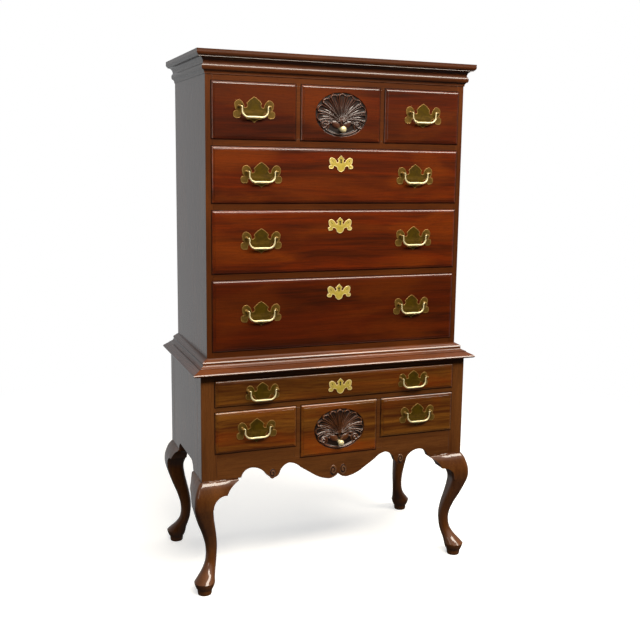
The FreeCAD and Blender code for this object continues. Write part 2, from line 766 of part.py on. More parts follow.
def carve_shell(body, name, case_front, centre, hub_drop, half_width, half_height):
    """A fan of swelling ribs from a low hub, cut off by an oval ground."""
    field = case_front - FIELD_FRONT
    ground = attach(body, f"{name}_ground_outline", "XZ_Plane", (0, centre, -field))
    eighth = math.pi / 8
    right_half = [tuple(ellipse_point(half_width, half_height, eighth * step)
                        for step in (start + 1, start + 2)) for start in (0, 2, 4)]
    right_half.append((ellipse_point(half_width, half_height, eighth * 7), (0, -half_height)))
    top_point = (0, half_height)
    draw(ground, top_point, both_halves(top_point, right_half))
    pad(body, f"{name}_ground", ground, size("shell_base"))

    axis = field + size("shell_sink")
    wide, start = size("rib_radius"), 18
    for number in range(SHELL_RIBS):
        angle = math.radians(SHELL_SPREAD) * (2 * number / (SHELL_RIBS - 1) - 1)
        length = rib_length(half_width, half_height, hub_drop, angle) - 3
        rib = attach(body, f"{name}_rib_{number}_outline", "YZ_Plane",
                     (axis, centre - hub_drop, 0))
        turn = Rotation(Vector(1, 0, 0), -math.degrees(angle))
        rib.AttachmentOffset = Placement(rib.AttachmentOffset.Base, turn)
        draw(rib, (0, start), [
            ((-RIB_ROOT, start),),
            ((-wide, length - wide),),
            ((-wide * HALF_TURN, length - wide * (1 - HALF_TURN)), (0, length)),
            ((0, start),),
        ])
        revolve(body, f"{name}_rib_{number}", rib)


def drawer_box(name, low, high, case_front):
    """Two sides, a back and a bottom behind the front's block."""
    cover = size("lip_cover")
    thick = size("box_board")
    front = case_front + size("front_block")
    floor, ceiling = low[1] + cover, high[1] - cover - size("top_gap")
    left = low[0] + cover + size("side_gap")
    right = high[0] - cover - size("side_gap")
    bottom = floor + size("box_bottom_lift")
    return group(name, [
        board(f"{name}_left", (left, front, floor), (left + thick, BOX_REAR, ceiling)),
        board(f"{name}_right", (right - thick, front, floor), (right, BOX_REAR, ceiling)),
        board(f"{name}_back", (left + thick, BOX_REAR - thick, bottom + size("box_bottom")),
              (right - thick, BOX_REAR, ceiling)),
        board(f"{name}_bottom", (left + thick, front, bottom),
              (right - thick, BOX_REAR, bottom + size("box_bottom"))),
    ])


# ---------------------------------------------------------------- brasses
PLATE_HALF = [
    ((15, 26), (26, 9)),
    ((24.5, 0), (33, -3)),
    ((38, 12), (48, 20.5)),
    ((64, 15), (66, 0)),
    ((63, -10), (57, -15)),
    ((67, -15), (71, -26)),
    ((67, -36), (57, -38)),
    ((48, -36), (46, -28)),
    ((41, -22), (34, -25)),
    ((29, -36), (20, -42)),
    ((9, -45), (0, -53)),
]
PLATE_TOP = (0, 32)
LOCK_HALF = [
    ((14, 14),),
    ((11, 9.5), (16, 8)),
    ((22, 16.5), (31, 20)),
    ((41.5, 16), (42, 7)),
    ((40, -1), (35.5, -5)),
    ((41, -5.5), (44.5, -10)),
    ((42.5, -16.5), (36, -18)),
    ((29, -16.5), (26, -9)),
    ((20, -9), (14.5, -14)),
    ((10.5, -22.5), (0, -28)),
]
LOCK_TOP = (0, 28)


def cast_plate(name, start, half, scale, where, front):
    """A flat cast plate of shaped outline, standing on the drawer's field."""
    body = new_body(name)
    sketch = attach(body, f"{name}_outline", "XZ_Plane", (where[0], where[1], -front))
    scaled = [tuple((x * scale, z * scale) for x, z in segment) for segment in half]
    top_point = (0, start[1] * scale)
    draw(sketch, top_point, both_halves(top_point, scaled))
    pad(body, f"{name}_sheet", sketch, size("plate_thick"))
    return body


def cut_keyhole(body, name, where, front):
    """Round head and flared slot of a keyhole through the plate."""
    sketch = attach(body, f"{name}_keyhole_outline", "XZ_Plane", (where[0], where[1], -front))
    draw(sketch, (0, 15), both_halves((0, 15), [
        ((2.6, 12.4), (1.2, 10)),
        ((1.9, 3),),
        ((0, 3),),
    ]))
    pocket_through(body, f"{name}_keyhole", sketch)


def turned(name, where, front, half_profile):
    """A round piece turned about a level axis that points out of the drawer."""
    body = new_body(name)
    sketch = attach(body, f"{name}_profile", "XY_Plane", (where[0], 0, where[1]))
    profile = [tuple((r, front - out) for r, out in segment) for segment in half_profile]
    draw(sketch, (0, front), profile)
    revolve(body, f"{name}_turning", sketch)
    return body


def bail_post(name, where, front):
    """Turned post with a ball head, bored across for the bail's pin."""
    reach, ball = size("pivot_reach"), size("ball_radius")
    neck, neck_rise = ball * 0.6, ball * 0.8
    body = turned(name, where, front, [
        ((5.5, 0),),
        ((5.5, 1.2),),
        ((neck, 3.6),),
        ((neck, reach - neck_rise),),
        ((ball, reach), (0, reach + ball)),
        ((0, 0),),
    ])
    bore = attach(body, f"{name}_bore_outline", "YZ_Plane", (front - reach, where[1], where[0]))
    circle = bore.addGeometry(Part.Circle(Vector(0, 0, 0), Vector(0, 0, 1), 1), False)
    bore.addConstraint(Sketcher.Constraint("Coincident", circle, 3, -1, 1))
    radius = size("rod_radius") + size("pin_gap")
    number = bore.addConstraint(Sketcher.Constraint("Radius", circle, radius.value))
    bore.setExpression(f"Constraints[{number}]", radius.text)
    hole = body.newObject("PartDesign::Pocket", f"{name}_bore")
    hole.Profile = bore
    hole.SideType = "Symmetric"
    bind(hole, "Length", ball * 4)
    return body


def bail(name, where, front):
    """The swinging handle: two pins turned outward, two arms and a level grip."""
    body = new_body(name)
    depth = front - size("plate_thick") - size("pivot_reach")
    rod = size("rod_radius")
    spread, drop = size("post_spread"), size("bail_drop")
    pin_end = spread + 2.5
    bend = rod + 0.6
    arm = spread - size("ball_radius") - 0.3 - bend
    sweep = 21
    path = attach(body, f"{name}_path", "XZ_Plane", (where[0], where[1], -depth))
    soft = 1 - HALF_TURN
    half = [
        ((pin_end, 0), (arm + bend, 0)),
        ((arm + bend, 0), (arm + bend * soft, -bend * soft), (arm, -bend)),
        ((arm, -bend), (arm, sweep - drop)),
        ((arm, sweep - drop), (arm - sweep * soft, sweep * soft - drop), (arm - sweep, -drop)),
    ]
    grip = [((arm - sweep, -drop), (sweep - arm, -drop))]
    other = [tuple((-x, z) for x, z in reversed(run)) for run in reversed(half)]
    for run in half + grip + other:
        points = [Vector(plain(x), plain(z), 0) for x, z in run]
        curve = Part.LineSegment(*points) if len(points) == 2 else Part.Arc(*points)
        path.addGeometry(curve, False)
    runs = half + grip + other
    starts = [pin_vertex(path, index, run[0]) for index, run in enumerate(runs)]
    pin_vertex(path, len(runs) - 1, runs[-1][-1])
    for index in range(len(runs) - 1):
        path.addConstraint(Sketcher.Constraint(
            "Coincident", index, 3 - starts[index], index + 1, starts[index + 1]))
    section = attach(body, f"{name}_section", "YZ_Plane", (depth, where[1], where[0] + pin_end))
    circle = section.addGeometry(Part.Circle(Vector(0, 0, 0), Vector(0, 0, 1), rod.value), False)
    section.addConstraint(Sketcher.Constraint("Coincident", circle, 3, -1, 1))
    number = section.addConstraint(Sketcher.Constraint("Radius", circle, rod.value))
    section.setExpression(f"Constraints[{number}]", rod.text)
    pipe = body.newObject("PartDesign::AdditivePipe", f"{name}_rod")
    pipe.Profile = section
    pipe.Spine = (path, [f"Edge{index}" for index in range(1, len(runs) + 1)])
    return body


def knob(name, height, front):
    """A small turned knob with a waisted neck and a domed face."""
    radius, length = size("knob_radius"), size("knob_length")
    dome = 4.5
    sphere = (radius.value ** 2 + dome ** 2) / (2 * dome)
    slope = radius.value / sphere / 2
    middle = (sphere * slope, length - sphere * (1 - (1 - slope ** 2) ** 0.5))
    return turned(name, (0, height), front, [
        ((radius * 0.65, 0),),
        ((radius * 0.65, 1.5),),
        ((radius * 0.42, 3.2),),
        ((radius * 0.42, 6),),
        ((radius * 0.6, 7.6), (radius, length - dome - 2)),
        ((radius, length - dome),),
        (middle, (0, length)),
        ((0, 0),),
    ])


def brass_set(name, height, pulls, inset, scale, lock_height, front):
    """Plates, posts, bails and, where the drawer locks, an escutcheon."""
    fixed = []
    for label, side in pulls:
        x = side * (FRONT_HALF - inset)
        tag = f"{name}_{label}" if label else name
        fixed.append(cast_plate(f"{tag}_plate", PLATE_TOP, PLATE_HALF, scale, (x, height), front))
        seat = front - size("plate_thick")
        for end, shift in (("a", -size("post_spread")), ("b", size("post_spread"))):
            fixed.append(bail_post(f"{tag}_post_{end}", (shift + x, height), seat))
        bail(f"{tag}_bail", (x, height), front)
    if lock_height:
        where = (0, lock_height)
        plate = cast_plate(f"{name}_escutcheon", LOCK_TOP, LOCK_HALF, 1, where, front)
        cut_keyhole(plate, f"{name}_escutcheon", where, front)
        fixed.append(plate)
    return group(f"{name}_brasses", fixed)


SHELL = size("shell_half")
ALONE_LEFT, ALONE_RIGHT = [("", -1)], [("", 1)]
PAIR = [("left", -1), ("right", 1)]
# name, x from, x to, bottom, top, case front, pulls with their side, how far a pull is
# from the front's outer end, its rise over the middle, plate scale, and the escutcheon's
# drop under the top edge (0 where there is none)
DRAWERS = [
    ("row_left", -FRONT_HALF, -SMALL_INNER, ROW_BOTTOM, ROW_TOP, UPPER_FRONT,
     ALONE_LEFT, 141.5, 14, 1, 0),
    ("row_shell", -SHELL, SHELL, ROW_BOTTOM, ROW_TOP, UPPER_FRONT, [], 0, 0, 1, 0),
    ("row_right", SMALL_INNER, FRONT_HALF, ROW_BOTTOM, ROW_TOP, UPPER_FRONT,
     ALONE_RIGHT, 141.5, 14, 1, 0),
    ("first_long", -FRONT_HALF, FRONT_HALF, FIRST_BOTTOM, FIRST_TOP, UPPER_FRONT,
     PAIR, 166.5, 12, 1, 50),
    ("second_long", -FRONT_HALF, FRONT_HALF, SECOND_BOTTOM, SECOND_TOP, UPPER_FRONT,
     PAIR, 166.5, 14, 1, 51.5),
    ("third_long", -FRONT_HALF, FRONT_HALF, THIRD_BOTTOM, THIRD_TOP, UPPER_FRONT,
     PAIR, 166.5, 16, 1, 50.5),
    ("base_long", -FRONT_HALF, FRONT_HALF, BASE_LONG_BOTTOM, BASE_LONG_TOP, LOWER_FRONT,
     PAIR, 163.5, 6, 0.84, 48),
    ("base_left", -FRONT_HALF, -SMALL_INNER, SMALL_BOTTOM, BASE_ROW_TOP, LOWER_FRONT,
     ALONE_LEFT, 143.5, 12, 1, 0),
    ("base_shell", -SHELL, SHELL, SHELL_BOTTOM, BASE_ROW_TOP, LOWER_FRONT, [], 0, 0, 1, 0),
    ("base_right", SMALL_INNER, FRONT_HALF, SMALL_BOTTOM, BASE_ROW_TOP, LOWER_FRONT,
     ALONE_RIGHT, 143.5, 12, 1, 0),
]

nodes = [
    "front_left_leg", "front_right_leg", "back_left_leg", "back_right_leg", "knee_brackets",
    "lower_side_left", "lower_side_right", "lower_back", "apron", "lower_rails",
    "drawer_runners", "waist_moulding", "upper_side_left", "upper_side_right", "upper_back",
    "upper_boards", "upper_rails", "cornice",
]
for name, left, right, bottom, top, case_front, pulls, inset, rise, scale, lock in DRAWERS:
    low, high = (left, bottom), (right, top)
    front = drawer_front(f"{name}_front", low, high, case_front)
    drawer_box(f"{name}_box", low, high, case_front)
    nodes += [f"{name}_front", f"{name}_box"]
    if pulls:
        brass_set(name, (bottom + top) / 2 + rise, pulls, inset, scale,
                  top - lock if lock else None, case_front - FIELD_FRONT)
        nodes.append(f"{name}_brasses")
        nodes += [f"{name}_{label}_bail" if label else f"{name}_bail" for label, side in pulls]

# name, bottom, top and case front of the drawer, how far the oval's middle is under the
# front's middle, the hub's drop under the oval's middle, half width and half height of
# the oval, and the knob's drop under its middle
for name, bottom, top, case_front, low, hub_drop, half_width, half_height, knob_drop in (
        ("row_shell", ROW_BOTTOM, ROW_TOP, UPPER_FRONT, 1.5, 24, 93, 72, 49.5),
        ("base_shell", SHELL_BOTTOM, BASE_ROW_TOP, LOWER_FRONT, 2, 14, 94, 73, 47)):
    centre = (bottom + top) / 2 - low
    carve_shell(doc.getObject(f"{name}_front"), name, case_front, centre, hub_drop,
                half_width, half_height)
    knob(f"{name}_knob", centre - knob_drop, case_front - FIELD_FRONT - size("shell_base"))
nodes += ["row_shell_knob", "base_shell_knob"]

# ---------------------------------------------------------------- checks and export
doc.recompute()
for thing in doc.Objects:
    if "Invalid" in thing.State or "Error" in thing.State:
        raise RuntimeError(f"{thing.Name}: {thing.State} {thing.getStatusString()}")
os.makedirs("parts", exist_ok=True)
for name in nodes:
    shape = doc.getObject(name).Shape
    if shape.isNull() or not shape.isValid() or shape.Volume <= 0:
        raise RuntimeError(f"{name} has no sound shape")
    shape.exportStep(f"parts/{name}.step")
print(len(nodes), "sub-parts written")
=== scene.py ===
"""Looks of a two-part chest of drawers on cabriole legs, dressed round its packed frame.

Lengths in this file are in millimetres and become metres where a mesh is made.
+X is to the right of someone facing the drawers, +Y to the back and +Z up.
"""

import json
import math

import bmesh
import bpy
import numpy as np
from bpy.props import FloatProperty, FloatVectorProperty, PointerProperty
from mathutils import Matrix, Vector
from mathutils.geometry import tessellate_polygon


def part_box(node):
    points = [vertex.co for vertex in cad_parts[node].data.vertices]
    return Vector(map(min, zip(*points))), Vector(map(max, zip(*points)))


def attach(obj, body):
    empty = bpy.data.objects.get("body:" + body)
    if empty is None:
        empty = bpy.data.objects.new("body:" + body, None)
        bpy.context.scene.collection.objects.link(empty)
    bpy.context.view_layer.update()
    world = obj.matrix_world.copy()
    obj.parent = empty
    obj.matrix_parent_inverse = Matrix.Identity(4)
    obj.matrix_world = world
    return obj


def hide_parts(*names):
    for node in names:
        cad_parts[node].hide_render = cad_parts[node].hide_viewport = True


bl_info = {
    "name": "Highboy",
    "version": (1, 0, 0),
    "blender": (4, 5, 0),
    "location": "View3D > Sidebar > Highboy",
    "description": "Dresses a highboy: wood, carving, brasses, stage",
    "category": "Object",
}

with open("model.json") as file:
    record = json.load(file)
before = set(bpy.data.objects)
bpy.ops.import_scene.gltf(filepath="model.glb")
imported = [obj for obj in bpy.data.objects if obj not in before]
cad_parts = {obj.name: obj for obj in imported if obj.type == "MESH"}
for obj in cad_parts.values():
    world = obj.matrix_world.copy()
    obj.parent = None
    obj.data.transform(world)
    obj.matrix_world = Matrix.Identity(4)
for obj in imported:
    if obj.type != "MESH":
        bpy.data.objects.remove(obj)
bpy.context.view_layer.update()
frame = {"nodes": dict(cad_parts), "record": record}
MM = 0.001


def node_box(node):
    """Lowest and highest corner of a node, in millimetres."""
    low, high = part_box(node)
    return np.array(low) / MM, np.array(high) / MM


UPPER_FRONT = node_box("upper_rails")[0][1]
LOWER_FRONT = node_box("lower_rails")[0][1]
UPPER_HALF = node_box("upper_side_right")[1][0]
BACK = node_box("upper_side_right")[1][1]
BASE_TOP = node_box("lower_rails")[1][2]
LOWER_HALF = node_box("lower_side_right")[1][0]
LOWER_MIDDLE = (LOWER_FRONT + BACK) / 2
PULL_PIECES = ["row_left", "row_right", "first_long", "second_long", "third_long",
               "base_long", "base_left", "base_right"]
SHELL_PIECES = ["row_shell", "base_shell"]
# How far the field of a drawer front stands before the rails.
PROUD = 7.2


# ------------------------------------------------------------------ settings
def colour(name, description, value):
    """A colour that a user can change."""
    return FloatVectorProperty(name=name, description=description, default=value, size=3,
                               min=0, max=1, subtype="COLOR")


def amount(name, description, value, low, high, **kind):
    """A number that a user can change, between two limits."""
    return FloatProperty(name=name, description=description, default=value, min=low,
                         max=high, **kind)


class HighboyWood(bpy.types.PropertyGroup):
    """Colours and gloss of the woods."""

    front: colour("Drawer fronts", "Middle tone of the drawer fronts", (0.178, 0.0215, 0.0008))
    base: colour("Base fronts", "Middle tone of the lower drawer fronts", (0.200, 0.072, 0.008))
    legs: colour("Lower case", "Middle tone of the legs, the apron and the lower case",
                 (0.108, 0.037, 0.008))
    case: colour("Case", "Middle tone of the upper case and the mouldings",
                 (0.080, 0.0205, 0.0032))
    deep: colour("Grain lines", "Dark tone of the grain", (0.048, 0.0085, 0.0008))
    glow: colour("Figure", "Light tone of the figure", (0.235, 0.042, 0.0022))
    carved: colour("Carving", "Stain worked into the carving", (0.060, 0.018, 0.008))
    base_carved: colour("Base carving", "Stain of the lower shell", (0.145, 0.042, 0.006))
    # Lighter tone of the carving's ridges: partly wear, partly a painted highlight.
    rubbed: colour("Ridge wear and sheen", "Tone of the ridges of the carving", (0.30, 0.17, 0.12))
    base_rubbed: colour("Rubbed base carving", "Tone of the lower carving's ridges",
                        (0.145, 0.070, 0.028))
    inside: colour("Inside wood", "Pale wood of boxes, runners and backs", (0.46, 0.28, 0.13))
    coat: amount("Polish", "Weight of the clear polish", 1.0, 0, 1, subtype="FACTOR")
    roughness: amount("Polish roughness", "Softness of reflections", 0.07, 0, 1,
                      subtype="FACTOR")


class HighboyBrass(bpy.types.PropertyGroup):
    """Colours of the brasses and shape of the bails."""

    plate: colour("Plates", "Patina on the plates' faces", (0.092, 0.056, 0.0025))
    rim: colour("Rims", "Brass of the plates' rims and posts", (0.31, 0.175, 0.045))
    lock: colour("Lock plates", "Brass of the lock plates", (0.93, 0.77, 0.36))
    bail: colour("Bails", "Rubbed brass of the bails and knobs", (0.82, 0.72, 0.42))
    grip: amount("Grip radius", "Radius of a bail at its middle, mm", 3.9, 2.2, 4)
    relief: amount("Edge line", "Depth of the line round a plate, mm", 0.5, 0, 0.9)


class HighboyCarving(bpy.types.PropertyGroup):
    """Depths of the shells and the apron scrolls."""

    recess: amount("Recess", "How far a shell's ground is sunk, mm", 4.0, 0, 6)
    rise: amount("Rise", "Height of the ribs over the ground, mm", 10.0, 2, 12)
    scroll: amount("Scrolls", "Height of the apron's scrolls, mm", 2.6, 0.5, 4)
    scallop: amount("Scallop", "Depth of the lobes on a shell's edge", 0.05, 0, 0.12)


class HighboyStage(bpy.types.PropertyGroup):
    """Floor, lights and camera."""

    floor: colour("Floor", "Colour of the plain floor", (0.80, 0.80, 0.79))
    key: amount("Key light", "Power of the broad front light", 310, 0, 2000, unit="POWER")
    top: amount("Top light", "Power of the overhead light", 110, 0, 2000, unit="POWER")
    edge: amount("Edge light", "Power of the narrow light on the left", 12, 0, 500,
                 unit="POWER")
    lens: amount("Lens", "Focal length of the camera, mm", 51.0, 20, 120)


# ------------------------------------------------------------------ mesh helpers
def arc(start, middle, end, count=10):
    """Points on the circle through three points: its centre is where the two chords'
    perpendicular bisectors meet, and the angle runs evenly from start to end."""
    a, b, c = (np.array(p, float) for p in (start, middle, end))
    turn = np.array([b - a, c - a])
    centre = np.linalg.solve(2 * turn, [b @ b - a @ a, c @ c - a @ a])
    angles = [math.atan2(*(p - centre)[::-1]) for p in (a, b, c)]
    sweep = (angles[2] - angles[0]) % (2 * math.pi)
    if (angles[1] - angles[0]) % (2 * math.pi) > sweep:
        sweep -= 2 * math.pi
    steps = angles[0] + np.linspace(0, sweep, count + 1)
    radius = np.linalg.norm(a - centre)
    return centre + radius * np.stack([np.cos(steps), np.sin(steps)], axis=1)


def outline(start, segments, count=10):
    """Open outline of lines (one point) and arcs (two points), joined end to end."""
    runs = [np.array([start], float)]
    here = start
    for segment in segments:
        run = arc(here, *segment, count) if len(segment) == 2 else np.array([here, segment[0]])
        runs.append(run[1:])
        here = segment[-1]
    return np.concatenate(runs)


def mirrored_loop(half):
    """A half outline from top to bottom on the axis x = 0, closed by its mirror image."""
    return np.concatenate([half, half[-2:0:-1] * [-1, 1]])


def upright(flat, depth, x=0, z=0):
    """A flat outline (across, up) stood upright at a depth, and moved."""
    return np.stack([flat[:, 0] + x, np.full(len(flat), float(depth)), flat[:, 1] + z], axis=1)


def smooth(at, places, values):
    """Cubic through the given values: between two places it is the Hermite blend of their
    values and slopes, a slope being the line between the two neighbours."""
    places, values = np.asarray(places, float), np.asarray(values, float)
    slope = np.gradient(values, places)
    index = np.clip(np.searchsorted(places, at) - 1, 0, len(places) - 2)
    span = places[index + 1] - places[index]
    t = (at - places[index]) / span
    return ((2 * t ** 3 - 3 * t ** 2 + 1) * values[index]
            + (t ** 3 - 2 * t ** 2 + t) * span * slope[index]
            + (3 * t ** 2 - 2 * t ** 3) * values[index + 1]
            + (t ** 3 - t ** 2) * span * slope[index + 1])


def ramp(value, low, high):
    """0 below low, 1 above high, and three t squared minus two t cubed in between."""
    t = np.clip((value - low) / (high - low), 0, 1)
    return t * t * (3 - 2 * t)


def skin(grid, caps=True):
    """Quads between the rings of a grid (ring, point, xyz), each ring closed on itself, and
    one flat face over the first and the last ring. Faces are arrays of corner numbers, one
    array for each count of corners."""
    rings, points = grid.shape[:2]
    number = np.arange(rings * points).reshape(rings, points)
    following = np.roll(number, -1, axis=1)
    quads = np.stack([number[:-1], following[:-1], following[1:], number[1:]], axis=-1)
    faces = [quads.reshape(-1, 4)]
    if caps:
        faces.append(np.stack([number[0, ::-1], number[-1]]))
    return grid.reshape(-1, 3), faces


def outward(verts, faces):
    """The same faces, turned over if the volume that they enclose counts as negative: the
    sum, over each face's fan of triangles, of the triple product of the corners."""
    volume = sum(np.sum(verts[part[:, :1]] * np.cross(verts[part[:, 1:-1]],
                                                      verts[part[:, 2:]])) for part in faces)
    return [part[:, ::-1] for part in faces] if volume < 0 else faces


class Shapes:
    """Closed shells gathered for one mesh, each with the number of its material and how deep each
    of its points lies in a groove: 1 at the bottom, -1 on a ridge. The carving's material paints
    shade into the grooves and a lighter tone, partly wear and partly a painted highlight, on the
    ridges."""

    def __init__(self):
        self.verts, self.faces, self.numbers, self.grooves = [], [], [], []
        self.count = 0

    def add(self, verts, faces, number=0, groove=0.0):
        self.faces += [part + self.count for part in outward(verts, faces)]
        self.numbers.append(np.broadcast_to(number, sum(map(len, faces))))
        self.grooves.append(np.broadcast_to(np.ravel(groove), len(verts)))
        self.verts.append(verts)
        self.count += len(verts)


def new_object(name, data):
    """An object linked to the scene."""
    obj = bpy.data.objects.new(name, data)
    bpy.context.scene.collection.objects.link(obj)
    return obj


def finish_piece(obj, body, replaced, sharp, soft_below=0):
    """Smooth shading with hard edges over an angle, none of them among the first so many points;
    then the piece goes under its body and the nodes that it replaces are hidden."""
    mesh = obj.data
    mesh.polygons.foreach_set("use_smooth", np.ones(len(mesh.polygons), bool))
    mesh.set_sharp_from_angle(angle=math.radians(sharp))
    if soft_below:
        ends = np.empty(len(mesh.edges) * 2, np.int32)
        mesh.edges.foreach_get("vertices", ends)
        hard = np.empty(len(mesh.edges), bool)
        mesh.edges.foreach_get("use_edge_sharp", hard)
        hard &= ends.reshape(-1, 2).max(axis=1) >= soft_below
        mesh.edges.foreach_set("use_edge_sharp", hard)
    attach(obj, body)
    if replaced:
        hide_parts(*replaced)
    return obj


def make_piece(name, shapes, materials, body, replaced=(), sharp=32, soft_below=0):
    """One mesh object from gathered shells, in place, with its materials."""
    mesh = bpy.data.meshes.new(name)
    mesh.from_pydata((np.concatenate(shapes.verts) * MM).tolist(), [],
                     [face for part in shapes.faces for face in part.tolist()])
    for material in materials:
        mesh.materials.append(material)
    mesh.polygons.foreach_set("material_index",
                              np.concatenate(shapes.numbers).astype(np.int32))
    mesh.attributes.new("groove", "FLOAT", "POINT").data.foreach_set(
        "value", np.concatenate(shapes.grooves))
    mesh.validate()
    finish_piece(new_object(name, mesh), body, replaced, sharp, soft_below)


def body_of_node(node):
    """The body that a node belongs to in the record."""
    bodies = frame["record"]["behaviour"]["bodies"]
    return next(body for body, nodes in bodies.items() if node in nodes)


def eased_copy(node, material, ease=0.8):
    """A copy of a board's node with its triangles merged and its edges eased."""
    source = frame["nodes"][node]
    work = bmesh.new()
    work.from_mesh(source.data)
    work.transform(source.matrix_world)
    bmesh.ops.remove_doubles(work, verts=work.verts, dist=1e-5)
    bmesh.ops.dissolve_limit(work, angle_limit=0.01, verts=work.verts, edges=work.edges)
    mesh = bpy.data.meshes.new(f"{node}_eased")
    work.to_mesh(mesh)
    work.free()
    mesh.materials.clear()
    mesh.materials.append(material)
    obj = new_object(f"{node}_wood", mesh)
    bevel = obj.modifiers.new("eased", "BEVEL")
    bevel.width = ease * MM
    bevel.segments = 2
    bevel.limit_method = "ANGLE"
    bevel.angle_limit = math.radians(40)
    return finish_piece(obj, body_of_node(node), [node], 32)


# ------------------------------------------------------------------ materials
def plug(tree, node, inputs):
    """Links a node's sockets, or sets them to a value."""
    for key, value in inputs.items():
        if isinstance(value, bpy.types.NodeSocket):
            tree.links.new(value, node.inputs[key])
        else:
            node.inputs[key].default_value = value


def add_node(tree, kind, inputs=None, **settings):
    """A node with its settings and its sockets."""
    node = tree.nodes.new(kind)
    for key, value in settings.items():
        setattr(node, key, value)
    plug(tree, node, inputs or {})
    return node


def math_node(tree, operation, a, b):
    """Two values put together; each is a socket or a number."""
    return add_node(tree, "ShaderNodeMath", {0: a, 1: b}, operation=operation).outputs[0]


def times(tree, a, b):
    """A value times another."""
    return math_node(tree, "MULTIPLY", a, b)


def plus(tree, a, b):
    """A value plus another."""
    return math_node(tree, "ADD", a, b)


def solid(shade):
    """A colour with its alpha."""
    return (*shade, 1)


def mix_colours(tree, factor, a, b, blend="MIX"):
    """Two colours blended by a factor; each is a socket or a plain colour."""
    a, b = (side if isinstance(side, bpy.types.NodeSocket) else solid(side) for side in (a, b))
    return add_node(tree, "ShaderNodeMix", {0: factor, 6: a, 7: b}, data_type="RGBA",
                    blend_type=blend).outputs[2]


def remap(tree, value, low, high, to_low=0.0, to_high=1.0):
    """A value carried from one range to another by t squared times three minus two t."""
    return add_node(tree, "ShaderNodeMapRange", {
        "Value": value, "From Min": low, "From Max": high, "To Min": to_low,
        "To Max": to_high}, interpolation_type="SMOOTHSTEP").outputs[0]


def noise(tree, vector, scale, detail=2.0, distortion=0.0, rough=0.5):
    """A cloudy mask between 0 and 1."""
    return add_node(tree, "ShaderNodeTexNoise", {
        "Vector": vector, "Scale": scale, "Detail": detail, "Roughness": rough,
        "Distortion": distortion}).outputs["Fac"]


def stretch(tree, vector, x, y, z):
    """Coordinates times a factor along each axis."""
    return add_node(tree, "ShaderNodeVectorMath", {0: vector, 1: (x, y, z)},
                    operation="MULTIPLY").outputs[0]


def new_group(name, inputs, outputs):
    """An empty node group with its sockets: (name, kind, default) each."""
    group = bpy.data.node_groups.new(name, "ShaderNodeTree")
    for label, kind, value in inputs:
        socket = group.interface.new_socket(label, in_out="INPUT", socket_type=kind)
        if value is not None:
            socket.default_value = value
    for label, kind in outputs:
        group.interface.new_socket(label, in_out="OUTPUT", socket_type=kind)
    return group, group.nodes.new("NodeGroupInput"), group.nodes.new("NodeGroupOutput")


def grain_group():
    """Wood grain along X: wide bands, cloudy figure, fibres and pores, each a noise that is
    stretched along the grain. Puts out the colour, a gloss mask and a height."""
    if "Grain" in bpy.data.node_groups:
        return bpy.data.node_groups["Grain"]
    group, start, end = new_group("Grain", [
        ("Vector", "NodeSocketVector", None),
        ("Middle", "NodeSocketColor", (0.2, 0.05, 0.01, 1)),
        ("Dark", "NodeSocketColor", (0.03, 0.01, 0.005, 1)),
        ("Light", "NodeSocketColor", (0.3, 0.1, 0.02, 1)),
        ("Bands", "NodeSocketFloat", 0.6),
        ("Pores", "NodeSocketFloat", 0.5),
    ], [("Color", "NodeSocketColor"), ("Gloss", "NodeSocketFloat"),
        ("Height", "NodeSocketFloat")])
    at, middle, dark, light, banded, pored = start.outputs[:6]
    wave = times(group, noise(group, stretch(group, at, 2.0, 6, 6), 1.0), 0.04)
    bent = add_node(group, "ShaderNodeVectorMath", {
        0: at, 1: add_node(group, "ShaderNodeCombineXYZ", {"Y": wave, "Z": wave}).outputs[0]},
        operation="ADD").outputs[0]
    bands = noise(group, stretch(group, bent, 1.3, 26, 26), 1.0, 4.0, 0.4, 0.62)
    streaks = noise(group, stretch(group, bent, 3.2, 120, 120), 1.0, 3.0, 0.2, 0.6)
    cloud = noise(group, stretch(group, at, 2.6, 9, 9), 1.0, 3.0, 0.6)
    fibre = noise(group, stretch(group, bent, 9, 420, 420), 1.0, 3.0, 0.0, 0.65)
    pores = noise(group, stretch(group, bent, 60, 1500, 1500), 1.0, 1.0)
    lines = plus(group, remap(group, bands, 0.62, 0.36, 0.0, 0.65),
                 remap(group, streaks, 0.60, 0.38, 0.0, 0.35))
    tone = mix_colours(group, times(group, lines, banded), middle, dark)
    tone = mix_colours(group, times(group, remap(group, cloud, 0.42, 0.68), 0.7), tone, light)
    shade = remap(group, fibre, 0.3, 0.7, 0.82, 1.14)
    tone = mix_colours(group, 1.0, tone, add_node(group, "ShaderNodeCombineColor", {
        0: shade, 1: shade, 2: shade}).outputs[0], "MULTIPLY")
    pits = times(group, remap(group, pores, 0.60, 0.70), pored)
    plug(group, end, {"Color": mix_colours(group, pits, tone, dark),
                      "Gloss": remap(group, fibre, 0.3, 0.7, 1.0, 0.8),
                      "Height": math_node(group, "SUBTRACT", fibre, pits)})
    return group


def new_material(name):
    """A material with a Principled shader, and the piece's Object coordinates."""
    material = bpy.data.materials.new(name)
    material.use_nodes = True
    tree = material.node_tree
    tree.nodes.clear()
    shader = tree.nodes.new("ShaderNodeBsdfPrincipled")
    tree.links.new(shader.outputs[0], tree.nodes.new("ShaderNodeOutputMaterial").inputs[0])
    return material, tree, shader, tree.nodes.new("ShaderNodeTexCoord").outputs["Object"]


def bump(tree, height, strength, distance):
    """A normal from a height."""
    return add_node(tree, "ShaderNodeBump", {"Height": height, "Strength": strength,
                                             "Distance": distance}).outputs[0]


# Turn that lays a board's grain along an axis.
GRAIN_TURN = {"x": (0, 0, 0), "y": (0, 0, math.pi / 2), "z": (0, math.pi / 2, 0)}


